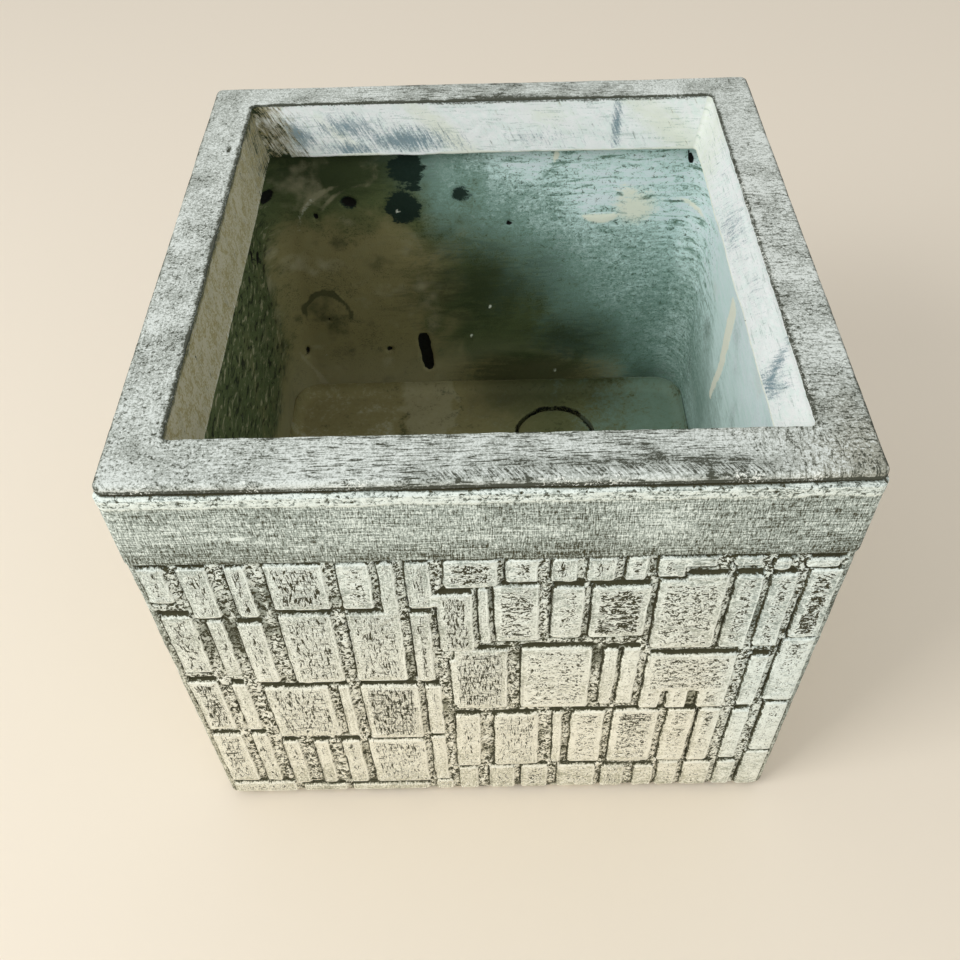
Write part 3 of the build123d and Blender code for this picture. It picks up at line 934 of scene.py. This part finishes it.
def build_outer_wall(quarter, tiles, settings, material):
    """One wall's outer half: each point of its face moved along its normal by the relief."""
    s, z, face, normal = wall_face(
        quarter, BEAD_HALF - settings.proud * MM, settings.corner * MM, settings.step * MM
    )
    height, made = wall_relief(s, z, face, tiles, settings)
    face[..., :2] += normal * height[..., None]
    made["flow"] = np.stack([s, z, np.full(s.shape, quarter * SIDE_OFFSET)], -1) / MM
    close_wall("cast_mosaic", quarter, s, face, made, material)


# ---------------------------------------------------------------- inner walls
# Ovals on the inner walls: middle round and up, reach round and up, and strength. Round counts from the
# middle of the back wall to the right, and up from the ground.
# Painted light: bright ovals on the lit upper right of the back wall and towards the right wall.
PAINTED_LIGHT = (
    (92, 213, 64, 24, 1.0), (38, 226, 66, 18, 0.7), (69, 198, 20, 15, 1.5), (114, 187, 22, 13, 1.1),
    (150, 190, 50, 60, 0.9),
)
# Painted shade together with damp dark cement: a shadow band along the edge of the painted lit patch, a dark
# middle low down, and shade under the lining on the upper left.
PAINTED_SHADE_AND_DAMP = (
    (-2, 132, 76, 58, 0.95), (56, 84, 60, 44, 0.9), (34, 54, 70, 34, 1.5), (112, 50, 34, 24, 0.6),
    (-86, 226, 66, 32, 1.7), (-122, 220, 24, 34, 0.7),
)
STAINS = (
    (-45, 222, 13.5, 17, 2.5), (-49, 196, 15, 15.5, 2.6), (-14, 204, 8.2, 7.6, 1.7),
    (-82, 199, 7, 5.5, 2.0), (-42, 209, 9, 8, 1.4),
)
PITS = (
    (-82, 199, 5.6, 4.2, 1.8), (-104, 190, 2.8, 3.4, 1.7), (-105, 108, 1.8, 1.4, 2.0),
    (-124, 82, 3.0, 6.5, 0.95), (-67, 81, 3.4, 2.6, 1.3), (16, 181, 1.8, 2.0, 1.5),
    (-131, 207, 5.4, 4.4, 1.9), (-156, 181, 7, 5, 1.9), (-168, 192, 4, 9, 1.5), (-202, 208, 3, 5, 1.4),
    (-184, 160, 2, 2.4, 1.4),
)
SPLASHES = (
    (3, 117, 1.7, 2.6, 2.0), (48, 58, 1.7, 2.8, 2.0), (-52, 193, 2.2, 1.6, 2.0), (-11, 92, 1.2, 1.6, 2.0),
    (43, 228, 2.6, 7.0, 2.0), (93, 192, 21, 18, 1.7), (88, 202, 13, 9, 1.3), (-113, 77, 1.6, 3.4, 0.75),
    (-262, 150, 1.6, 4, 0.9), (-274, 176, 1.4, 3, 0.9),
)


def hoop(u, z, middle_u, middle_z, radius, width, fullness=1.5):
    """1 on a circle's line, easing to 0 on both sides of it."""
    return near(np.hypot(u - middle_u, z - middle_z) - radius, width, fullness=fullness)


def inner_wash(u, z, cloud, small, to_right):
    """The wash together with painted light: it thins out to the left of a slanting line, the edge of a
    painted lit patch, grows lighter towards the top, in lit ovals on the upper right and on the right wall,
    and ends at the slab; the moss on the upper left, the warm raw cement low down and on the left, the dark
    layer of painted shade together with damp cement, and the flecks in the wash."""
    # The slanting line is the edge of a painted lit patch: the wash grows to its right and above it as
    # painted light.
    past = 0.81 * (u + 34) + 0.59 * (z - 225)
    wash = smooth(0.46 + past / 120 + 0.18 * cloud + 0.08 * small)
    wash = wash * smooth((z - 40 + 14 * cloud) / 40 + smooth((u - 30) / 70))
    # Painted light: lighter towards the top, and the lit ovals added.
    wash = (0.6 + 0.2 * smooth((z - 140) / 60)) * wash + 0.46 * np.maximum(most(u, z, PAINTED_LIGHT), 0)
    # Painted light on the right wall.
    wash = wash + to_right * (0.36 * smooth((z - 90) / 80) + 0.12 * smooth((u - 190) / 60))
    far_left = np.maximum(smooth((-112 - u + 16 * cloud) / 56), smooth((u - 560 + 16 * cloud) / 100))
    mossy = far_left * passing(z - 84 + 20 * cloud, 60)
    wash = wash * smooth((590 + 20 * cloud - u) / 130) - 0.1 * mossy
    warm = np.maximum(passing(-30 - u, 90) * smooth((216 - z) / 60), smooth((90 - z + 12 * cloud) / 40))
    warm = warm * (1 - 0.6 * smooth((u - 60) / 40))
    warm = np.where(u > 400, 0.3 + 0.7 * smooth((u - 480) / 120), warm) * (1 - 0.85 * mossy)
    # The dark layer: painted shade together with damp cement, and the moss.
    dark = most(u, z, PAINTED_SHADE_AND_DAMP) + 0.15 * cloud + mossy * (0.15 + 0.2 * small)
    fleck = (0.1 + 0.9 * np.clip(wash, 0, 1)) * smooth((u + 62) / 60)
    fleck = fleck * (1 - 0.85 * smooth((u - 140) / 60)) + 0.05
    below = smooth((42 - z) / 6)
    return {
        "wash": wash * (1 - below), "dark": dark, "warm": np.maximum(warm, below), "mossy": mossy,
        "fleck": fleck * (1 - below),
    }


def inner_scuffs(u, z, x, y, place, cloud, small, on_back):
    """Rubbed marks, pale above 0 and dark below it: a dark arch and pale strokes on the left of the back
    wall, among patches that end to the right, and cloudy rubbing on the other walls."""
    arch = np.hypot((x + 106) / 15, (y - 110) / 22)
    scuff = -smooth(1.5 - np.abs(arch - 1) * 11) * smooth((z - 104) / 16) - 0.5 * smooth(1.4 - arch * 1.2)
    scuff = scuff + 0.9 * near(u + 120 - 0.45 * (60 - z) + 1.6 * small, 1.8, fullness=1.5) * (z < 84)
    outer, inner = hoop(u, z, -78, 172, 40, 1.3), hoop(u, z, -70, 178, 33, 1.2)
    scuff = scuff + 0.6 * outer * smooth((z - 180) / 20) * smooth((-70 - u) / 20)
    scuff = scuff + 0.5 * inner * smooth((z - 184) / 20) * smooth((-60 - u) / 20)
    scuff = np.where(on_back, scuff + 1.0 * layers(place, 17, seed=183) + 0.5 * small, 0.7 * cloud)
    return scuff * (1 - smooth((u + 44) / 30) * on_back)


def inner_splashes(u, z, x, y, small, on_back):
    """Cream specks and splashes: on the back wall a bowl, a curl and an arc, and on the right wall a drip
    that widens upwards."""
    chalk = most(x, y, SPLASHES) * 1.5 + 0.2 * small - 0.8
    bowl = 1.3 * smooth(3 - 3 * np.hypot((u - 72) / 15, (z - 190) / 11)) * passing(187.6 - z, 1.2)
    curl = 1.1 * hoop(u, z, 116, 168, 29, 1.8, fullness=1.4) * near(u - 128, 18) * (z > 178)
    arc = 0.5 * hoop(u, z, -82, 176, 34, 1.6) * near(u + 108, 16) * (z > 180)
    middle = 224 - 10 * smooth((151 - z) / 40) + 1.6 * small
    reach = 2.4 + 3.0 * smooth((z - 111) / 70) + 0.5 * small
    drip = 2.2 * near(u - middle, reach, fullness=1.5) * smooth((z - 110) / 5) * smooth((196 - z) / 5)
    marks = np.maximum(np.maximum(np.maximum(bowl, curl), arc) * on_back, drip)
    return np.maximum(np.where(on_back | (u < 0), chalk, -1), 1.8 * marks - 0.8)


def inner_paint(u, z, place):
    """The layers of the inner walls, as shares from 0 to 1. u runs round the inside, from 0 in the middle of
    the back wall to the right, and z is the height above the ground. The wash with its painted light, the
    moss, and the painted shade with damp cement lie in broad ovals and slants; stains, pits, scuffs and
    splashes sit at places of their own, with frayed edges. One pit is a tall slot, and a thin one leans at
    the top right. Below the slab the cement is raw."""
    cloud, small = layers(place, 28, seed=71), layers(place, 7, seed=73)
    x = u + 2.0 * noise(place, 7, seed=167) + 0.9 * noise(place, 2.8, seed=173)
    y = z + 1.6 * noise(place, 7, seed=179) + 0.9 * noise(place, 2.8, seed=181)
    on_back = np.abs(u) < 150
    pit = most(x, y, PITS) + 0.15 * small
    slot_x, slot_y = (u + 42 + 1.2 * small + 0.09 * (z - 78)) / 4.4, (z - 78) / 17.5
    pit = np.maximum(pit, 3 - 3 * slot_x**2 - 3 * slot_y**6)
    pit = np.maximum(pit, 3.0 * spot(x + 0.3 * (z - 225), z, 122, 225, 1.4, 5.6))
    return {
        **inner_wash(u, z, cloud, small, smooth((u - 120) / 90)),
        "scuff": inner_scuffs(u, z, x, y, place, cloud, small, on_back),
        "stain": most(x, y, STAINS) + 0.25 * small - 0.25,
        "pit": pit,
        "chalk": inner_splashes(u, z, x, y, small, on_back),
    }


def build_inner_wall(quarter, settings, material):
    """One wall's inner half: an uneven face, its pits sunk in and its splashes raised, flat behind the
    lining."""
    s, z, face, normal = wall_face(quarter, HOLLOW_HALF, settings.corner * MM, settings.step * MM)
    u = (2 - quarter) * 2 * s.max() - s
    made = inner_paint(u, z, face)
    hand = settings.unevenness * MM * (layers(face, 34, seed=83) + 0.35 * layers(face, 6, seed=89))
    sunk = 1.6 * smooth(1.4 * made["pit"]) - 0.3 * smooth(made["chalk"])
    face[..., :2] += normal * ((hand + 0.3 + sunk) * smooth((LIP_LOW + 6 - z) / 6))[..., None]
    made["flow"] = np.stack([u, z, np.zeros(u.shape)], -1) / MM
    close_wall("cast_inner", quarter, s, face, made, material)


# ---------------------------------------------------------------- rim and lining
def rim_section(settings):
    """The cap as a grid of rings: inner edge, its rounding, flat top, rounding of the outer edge, outer face
    and underside, point to matching point between the opening's outline and the outer one. Returns the
    points, both outlines, their normals, each point's side, and which rings are inner and outer."""
    straight, bend = int(2 * RIM_HALF / (settings.step * MM)), 8
    edge, inner_edge = settings.edge * MM, 1.0
    upright_rows, turn_rows, top_rows, inner_rows, outer_rows = 4, 6, 20, 7, 12
    inner, inner_normal, sides = ring_outline(*OPENING, straight, bend)
    outer, normal, _ = ring_outline(RIM_HALF, RIM_HALF, 0, settings.corner * MM, straight, bend)
    turn = np.linspace(0, QUARTER_TURN, turn_rows)[:, None, None]
    share = np.linspace(0, 1, top_rows + 2)[1:-1, None, None]
    flat_inner, flat_outer = inner + inner_edge * inner_normal, outer - edge * normal
    plan = np.concatenate([
        np.broadcast_to(inner, (upright_rows, *inner.shape)),
        inner + inner_edge * (1 - np.cos(turn[1:])) * inner_normal,
        mix(share, flat_inner, flat_outer),
        flat_outer + edge * np.sin(turn) * normal,
        np.broadcast_to(outer, (4, *outer.shape)),
        outer - np.array([3.0, 12.0])[:, None, None] * normal,
    ]).transpose(1, 0, 2)
    level = np.concatenate([
        np.linspace(CAP_LOW, TOP - inner_edge, upright_rows),
        TOP - inner_edge + inner_edge * np.sin(turn[1:, 0, 0]),
        np.full(top_rows, TOP),
        TOP - edge + edge * np.cos(turn[:, 0, 0]),
        [TOP - 3.0, TOP - 3.7, CAP_LOW + 0.3, CAP_LOW],
        [CAP_LOW] * 2,
    ])
    row = np.arange(len(level))[None]
    is_inner, is_outer = row < inner_rows, row >= len(level) - outer_rows
    return raised(plan, level), inner, outer, inner_normal, normal, sides[:, None], is_inner, is_outer


def rim_paint(place, side, to_outer, to_inner, is_outer):
    """What covers the rim. Dark cement lies along the inner seam and the outer edge itself, in a smudge on
    the back rail, in a flaked line on the front one and in a pit on the left, and painted shade darkens the
    foot of the outer edge.
    The front edge is hatched, the front right corner is worn, and white chips follow the inner edge on the
    right and the outer edge in front. Also returns the smudge and the pit, which sink in."""
    x, y, z = place[..., 0], place[..., 1], place[..., 2]
    ragged = layers(place, 5, seed=127)
    seam = by_side(side, 0.2, 0.7, 0.95, 0.75) * near(to_inner + (TOP - z) * 0.8, 1.5, 0.8 * ragged, 1.5)
    # Painted shade under the rounded outer edge, down the outer face and underside.
    foot = smooth((TOP - 2.4 - z) / 0.9 + 0.3 * ragged) * is_outer * 0.8
    far_edge = by_side(side, 0.0, 0.8, 0.35, 0.7) * near(to_outer, 2.2, 0.7 * ragged) * (z > TOP - 2)
    smudge = 0.75 * (side == BACK) * near(x - 12, 80, 0.4 * ragged) * near(to_inner, 8, 0.8 * ragged)
    flake = 0.4 * (side == FRONT) * near(to_outer - 9, 5, 0.8 * ragged)
    flake = flake * smooth((x + 5) / 30) * smooth((115 - x) / 30)
    pit = smooth(spot(x, y, -133, 85, 1.5, 3.6) * 3)
    hatched = (side == FRONT) * near(to_outer - 4, 3.4, 0.3 * ragged, 1.3)
    hatched = hatched * smooth((x + 30) / 15) * smooth((112 - x) / 12)
    clusters = smooth(3 * layers(place, 10, seed=211) - 0.2)
    chips = 0.9 * (side == RIGHT) * near(to_inner, 3.2, 0.4 * ragged, 1.2) * smooth((70 - y) / 30)
    chips = chips * (0.4 + 0.6 * clusters)
    chips = chips + 0.9 * (side == FRONT) * near(to_outer, 3.0, fullness=1.2) * clusters
    worn = near(np.hypot(x - 150, y + 150), 60, 0.3 * layers(place, 14, seed=131)) * 0.9
    dark = np.clip(seam + foot + far_edge + smudge + flake + pit, 0, 1.2)
    return {"dark": dark, "worn": worn, "hatched": hatched, "chips": chips}, smudge, pit


def build_rim(settings):
    """The cap: its section carried round the rim, each face moved along its own normal by noise."""
    place, inner, outer, inner_normal, normal, side, is_inner, is_outer = rim_section(settings)
    x, y, z = place[..., 0], place[..., 1], place[..., 2]
    to_outer, to_inner = (np.linalg.norm(place[..., :2] - edge[:, None], axis=-1) for edge in (outer, inner))
    made, smudge, pit = rim_paint(place, side, to_outer, to_inner, is_outer)
    sag, on_top = settings.unevenness * MM, (z > TOP - settings.edge * MM - 0.1) & ~is_inner
    dip = sag * (0.6 + 0.6 * layers(place, 30, seed=97)) + 0.12 * (1 + layers(place, 3.0, seed=101))
    dip = dip + 0.9 * pit + 0.5 * smudge
    pull = sag * (0.7 + 0.9 * layers(place * (1, 1, 0.3), 22, seed=103))
    pull = pull + 0.15 * (1 + layers(place, 2.6, seed=107))
    push = 0.4 * layers(place * (1, 1, 0.3), 18, seed=109) + 0.35 * layers(place, 3.0, seed=113)
    push = push + 1.6 * smooth((TOP - 1.0 - z) / 0.8)
    moved = place.copy()
    moved[..., 2] -= np.maximum(dip, 0) * on_top
    moved[..., :2] -= normal[:, None] * (np.maximum(pull, 0) * is_outer)[..., None]
    moved[..., :2] += inner_normal[:, None] * (push * is_inner)[..., None]
    along, off = np.where(side % 2 == 0, (x, y), (y, x))
    made["flow"] = np.stack([along, off - z, np.broadcast_to(side * SIDE_OFFSET, x.shape)], -1) / MM
    piece = grid_object("cast_rim", moved, True, True, made)
    settle(piece, rim_material(settings), "rim_cap")


# Ovals on the lining: middle along and down, reach along and down, and strength
RIGHT_SMEARS = ((30, 18, 44, 26, 0.75), (-82, 25, 18, 24, 1.1), (-20, 14, 30, 12, 0.5), (80, 16, 40, 30, 0.3))
BACK_SMEARS = (
    (-105, 17, 14, 17, 1.5), (-80, 27, 28, 9, 1.3), (-44, 22, 46, 13, 1.35), (-74, 13, 34, 13, 1.1),
    (30, 22, 46, 12, 0.5), (76, 20, 30, 20, 0.35),
)
BACK_CREAM = ((-22, 17, 16, 34, 1.1), (104, 17, 24, 44, 1.0), (44, 9, 34, 18, 0.6), (-82, 19, 10, 24, 0.8))


def lining_paint(x, y, down, side, place):
    """What covers the lining, as shares from 0 to 1, by the place and the distance below the rim: blue-grey
    smears that slant, thin paint, dark strokes, cream with a painted highlight along the lip's lower edge,
    and the dark seam line along the top, widened on the left into painted shade, with painted shade
    underneath."""
    ragged = layers(place, 6, seed=137)
    right = np.maximum(most(y - 0.8 * (down - 17), down, RIGHT_SMEARS), spot(y, down, -74, 20, 9, 40) * 1.2)
    back = np.maximum(most(x - 0.5 * (down - 17), down, BACK_SMEARS), spot(x, down, 76, 16, 5, 30) * 1.3)
    # Painted highlight: a thin cream line along the lower edge of the lip.
    lip = smooth((down - 29.6) / 0.8)
    back_cream = most(x - 1.0 * (down - 17), down, BACK_CREAM)
    corner = smooth(0.5 - (x + 117 - 12 * (down / 32) ** 2) / 44 + 0.3 * ragged)
    dark_left = 0.4 * smooth((y - 60) / 60) + 0.3 * ragged + 0.1
    dark = by_side(side, 0.0, -0.4, corner * 0.75 - 0.05, dark_left)
    notch = 2.0 * spot(x, down, -113, 31, 5, 3) * (side == BACK)
    # The seam is a dark line along the top; its wide band on the left is painted shade.
    width = by_side(side, 0.6, 0.6, 0.8 + 0.9 * smooth((x + 60) / 60), 2.4) * (1 + 0.8 * ragged)
    seam = by_side(side, 0.4, 0.45, 0.6, 0.62) * near(down, np.maximum(width, 0.2), fullness=1.5)
    # Painted shade on the underside of the lip.
    under = smooth((down - 31.5) / 0.6) * by_side(side, 0.5, 0.2, 0.35, 0.8)
    return {
        "blue": np.where(lip > 0.5, -1, by_side(side, 0.2, right, back, 0.0)),
        "cream": by_side(side, 0.0, smooth((y - 60) / 40) * 0.6, back_cream, 0.0) + lip,
        "bare": by_side(side, 0.6, -0.3, corner, 1 - 0.3 * smooth((down - 26) / 6)),
        "dark": np.maximum(dark, notch),
        "seam": np.maximum(seam, under),
    }


def build_lining(settings):
    """The strip under the cap: a section of face, rounded lip, underside and upright back, carried round the
    opening. The face runs straight down the cap's inner edge and then leans in from the opening's outline to
    the lip's. It strays by noise, and its lower edge waves."""
    straight, bend, lip_round = 230, 6, 1.4
    face_rows, turn_rows, under_rows = 32, 5, 8
    head = TOP - 1.1
    top, normal, sides = ring_outline(*OPENING, straight, bend)
    lip, _, _ = ring_outline(*LIP, straight, bend)
    wall, _, _ = ring_outline(HOLLOW_HALF, HOLLOW_HALF, 0, settings.corner * MM, straight, bend)
    face_z = np.linspace(head, LIP_LOW + lip_round, face_rows)
    lean = np.maximum(CAP_LOW - face_z, 0) / (CAP_LOW - LIP_LOW)
    turn = np.linspace(0, QUARTER_TURN, turn_rows + 1)[1:]
    outwards = (wall - lip) / np.linalg.norm(wall - lip, axis=1)[:, None]
    plan = np.concatenate([
        top[:, None] + (lip - top)[:, None] * lean[None, :, None],
        lip[:, None] + outwards[:, None] * (lip_round * (1 - np.cos(turn)))[None, :, None],
        lip[:, None] + (wall - lip)[:, None] * np.linspace(0.25, 1, under_rows)[None, :, None],
        wall[:, None], (top + (wall - top) * 0.5)[:, None], (top + (wall - top) * 0.3)[:, None],
    ], 1)
    level = np.concatenate([
        face_z, LIP_LOW + lip_round * (1 - np.sin(turn)), np.full(under_rows, LIP_LOW),
        [CAP_LOW, CAP_LOW, head],
    ])
    place = raised(plan, level)
    on_face = np.arange(len(level)) < face_rows + turn_rows + under_rows / 2
    down = np.clip(head - place[..., 2], 0, None)
    hand = 0.45 * layers(place, 20, seed=139) + 0.22 * layers(place, 4, seed=149)
    wave = 0.8 * layers(place * (1, 1, 0.1), 26, seed=151) + 0.2 * layers(place * (1, 1, 0.1), 5, seed=163)
    moved = place.copy()
    moved[..., :2] += normal[:, None] * ((0.15 + hand * smooth(down / 8)) * on_face)[..., None]
    moved[..., 2] += wave * (level < LIP_LOW + 4)
    side = np.broadcast_to(sides[:, None], down.shape)
    x, y = place[..., 0], place[..., 1]
    slant = by_side(side, 0.2, -0.9, -0.5, 0.3) * down
    made = lining_paint(x, y, down, side, place)
    made["flow"] = np.stack([np.where(side % 2 == 0, x, y) + slant, down, side * SIDE_OFFSET], -1) / MM
    piece = grid_object("cast_lining", moved, True, True, made)
    settle(piece, lining_material(settings), "rim_lining")


# ---------------------------------------------------------------- plug
def build_plug(settings):
    """The drain plug: a profile of foot, tapered stem, shoulder and flat head with a worn edge, turned about
    its axis. The head sags by noise, and both poles are closed."""
    foot, head, around, top_rows, pole = PLUG_LOW[2], PLUG_TOP[2], 140, 22, 0.4
    radius = PLUG_TOP[0] - PLUG_MIDDLE[0]
    shoulder, round_middle = head - HEAD_HEIGHT, radius - HEAD_ROUND
    profile = [(pole, foot), (9.0, foot), (STEM_FOOT - 1.0, foot), (STEM_FOOT, foot + 1.0)]
    profile += [(STEM_TOP, shoulder), (radius - 0.3, shoulder), (radius - 0.1, shoulder + 1.0)]
    profile += [
        (round_middle + HEAD_ROUND * math.cos(t), head - HEAD_ROUND + HEAD_ROUND * math.sin(t))
        for t in np.linspace(0, QUARTER_TURN, 5)
    ]
    profile += [(r, head) for r in np.linspace(radius - 2 * HEAD_ROUND, pole, top_rows)]
    reach, level = np.array(profile).T
    angle = np.linspace(0, 2 * math.pi, around, endpoint=False)
    plan = np.stack([
        PLUG_MIDDLE[0] + np.outer(np.cos(angle), reach), PLUG_MIDDLE[1] + np.outer(np.sin(angle), reach),
    ], -1)
    place = raised(plan, level)
    moved = place.copy()
    moved[..., 2] -= (0.25 + 0.25 * layers(place, 6, seed=157)) * (level > head - 0.5)
    closing = moved.mean(0)
    moved[:, 0], moved[:, -1] = closing[0], closing[-1]
    piece = grid_object("cast_plug", moved, True, False, {})
    settle(piece, floor_material("plug_cement", settings), "drain_plug", body="plug")


# ---------------------------------------------------------------- stage
def lay_floor(settings):
    """A plain square floor that the box stands on."""
    corners = [((i - 0.5) * settings.floor_width, (j - 0.5) * settings.floor_width, 0) for i, j in QUAD]
    mesh = bpy.data.meshes.new("floor")
    mesh.from_pydata(corners, [], [(0, 1, 2, 3)])
    floor = bpy.data.objects.new("floor", mesh)
    bpy.context.scene.collection.objects.link(floor)
    m = Shader("floor_pale")
    m.link(settings.floor, m.surface.inputs["Base Color"])
    m.link(FLOOR_ROUGHNESS, m.surface.inputs["Roughness"])
    floor.data.materials.append(m.material)


def hang_lamp(name, place, width, power):
    """A square soft lamp at a place, turned to face the middle of the box."""
    lamp = bpy.data.lights.new(name, "AREA")
    lamp.size, lamp.energy = width, power
    holder = bpy.data.objects.new(name, lamp)
    holder.location = place
    aim = np.array([0, 0, TOP / MM / 2]) - np.array(place)
    tip = math.acos(-aim[2] / np.linalg.norm(aim))
    holder.rotation_euler = (tip, 0, math.atan2(aim[1], aim[0]) - QUARTER_TURN)
    bpy.context.scene.collection.objects.link(holder)


def set_sky(settings):
    """Even white light from all round."""
    world = bpy.data.worlds.new("sky")
    world.use_nodes = True
    background = world.node_tree.nodes["Background"]
    background.inputs["Color"].default_value = (1, 1, 1, 1)
    background.inputs["Strength"].default_value = settings.sky
    bpy.context.scene.world = world


def set_camera(settings):
    """The camera above the front edge, looking down into the box."""
    lens = bpy.data.cameras.new("camera")
    lens.lens, lens.sensor_width, lens.clip_start = settings.lens, SENSOR_WIDTH, NEAREST_SEEN
    camera = bpy.data.objects.new("camera", lens)
    camera.location, camera.rotation_euler = settings.camera_place, settings.camera_turn
    bpy.context.scene.collection.objects.link(camera)
    bpy.context.scene.camera = camera


# ---------------------------------------------------------------- operators
class PLANTER_OT_stage(bpy.types.Operator):
    """Lays the pale floor and sets the lamps, the sky and the camera"""
    bl_idname = "planter.stage"
    bl_label = "Stage"

    def execute(self, context):
        settings = context.scene.planter.stage
        lay_floor(settings)
        hang_lamp("key_lamp", *KEY_LAMP, settings.key_power)
        hang_lamp("fill_lamp", *FILL_LAMP, settings.fill_power)
        set_sky(settings)
        set_camera(settings)
        context.scene.view_settings.view_transform = "Standard"
        return {"FINISHED"}


class PLANTER_OT_outer_walls(bpy.types.Operator):
    """Builds the four outer wall faces with their mosaic"""
    bl_idname = "planter.outer_walls"
    bl_label = "Mosaic Walls"

    def execute(self, context):
        settings = context.scene.planter.mosaic
        material = mosaic_material(settings)
        tiles = mosaic_tiles(BEAD_HALF - settings.proud * MM, settings.corner * MM)
        for quarter in range(4):
            build_outer_wall(quarter, tiles, settings, material)
        return {"FINISHED"}


class PLANTER_OT_inner_walls(bpy.types.Operator):
    """Builds the four inner wall faces with their stains and pits"""
    bl_idname = "planter.inner_walls"
    bl_label = "Inner Walls"

    def execute(self, context):
        settings = context.scene.planter.hollow
        material = hollow_material(settings)
        for quarter in range(4):
            build_inner_wall(quarter, settings, material)
        return {"FINISHED"}


class PLANTER_OT_rim(bpy.types.Operator):
    """Builds the rim cap"""
    bl_idname = "planter.rim"
    bl_label = "Rim Cap"

    def execute(self, context):
        build_rim(context.scene.planter.rim)
        return {"FINISHED"}


class PLANTER_OT_lining(bpy.types.Operator):
    """Builds the lining strip inside the rim"""
    bl_idname = "planter.lining"
    bl_label = "Rim Lining"

    def execute(self, context):
        build_lining(context.scene.planter.hollow)
        return {"FINISHED"}


class PLANTER_OT_floor(bpy.types.Operator):
    """Finishes the CAD floor slab with damp cement"""
    bl_idname = "planter.floor"
    bl_label = "Floor Slab"

    def execute(self, context):
        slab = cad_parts["floor_slab"]
        slab.data.materials.clear()
        slab.data.materials.append(floor_material("floor_cement", context.scene.planter.hollow))
        return {"FINISHED"}


class PLANTER_OT_plug(bpy.types.Operator):
    """Builds the drain plug"""
    bl_idname = "planter.plug"
    bl_label = "Drain Plug"

    def execute(self, context):
        build_plug(context.scene.planter.hollow)
        return {"FINISHED"}


class PLANTER_PT_panel(bpy.types.Panel):
    """Buttons for the planter's pieces, and their settings"""
    bl_idname = "PLANTER_PT_panel"
    bl_label = "Planter Box"
    bl_space_type = "VIEW_3D"
    bl_region_type = "UI"
    bl_category = "Planter"

    def draw(self, context):
        for operator in OPERATORS:
            self.layout.operator(operator.bl_idname)
        for group in ("mosaic", "rim", "hollow", "stage"):
            box = self.layout.box()
            box.label(text=group.title())
            settings = getattr(context.scene.planter, group)
            for label in settings.__annotations__:
                box.prop(settings, label)


OPERATORS = (
    PLANTER_OT_stage, PLANTER_OT_outer_walls, PLANTER_OT_inner_walls, PLANTER_OT_rim, PLANTER_OT_lining,
    PLANTER_OT_floor, PLANTER_OT_plug,
)
CLASSES = (
    MosaicSettings, RimSettings, HollowSettings, StageSettings, PlanterSettings, *OPERATORS, PLANTER_PT_panel,
)


def register():
    for kind in CLASSES:
        bpy.utils.register_class(kind)
    bpy.types.Scene.planter = bpy.props.PointerProperty(type=PlanterSettings)


def unregister():
    del bpy.types.Scene.planter
    for kind in reversed(CLASSES):
        bpy.utils.unregister_class(kind)


def main():
    register()
    bpy.ops.planter.stage()
    bpy.ops.planter.outer_walls()
    bpy.ops.planter.inner_walls()
    bpy.ops.planter.rim()
    bpy.ops.planter.lining()
    bpy.ops.planter.floor()
    bpy.ops.planter.plug()


if __name__ == "__main__":
    main()
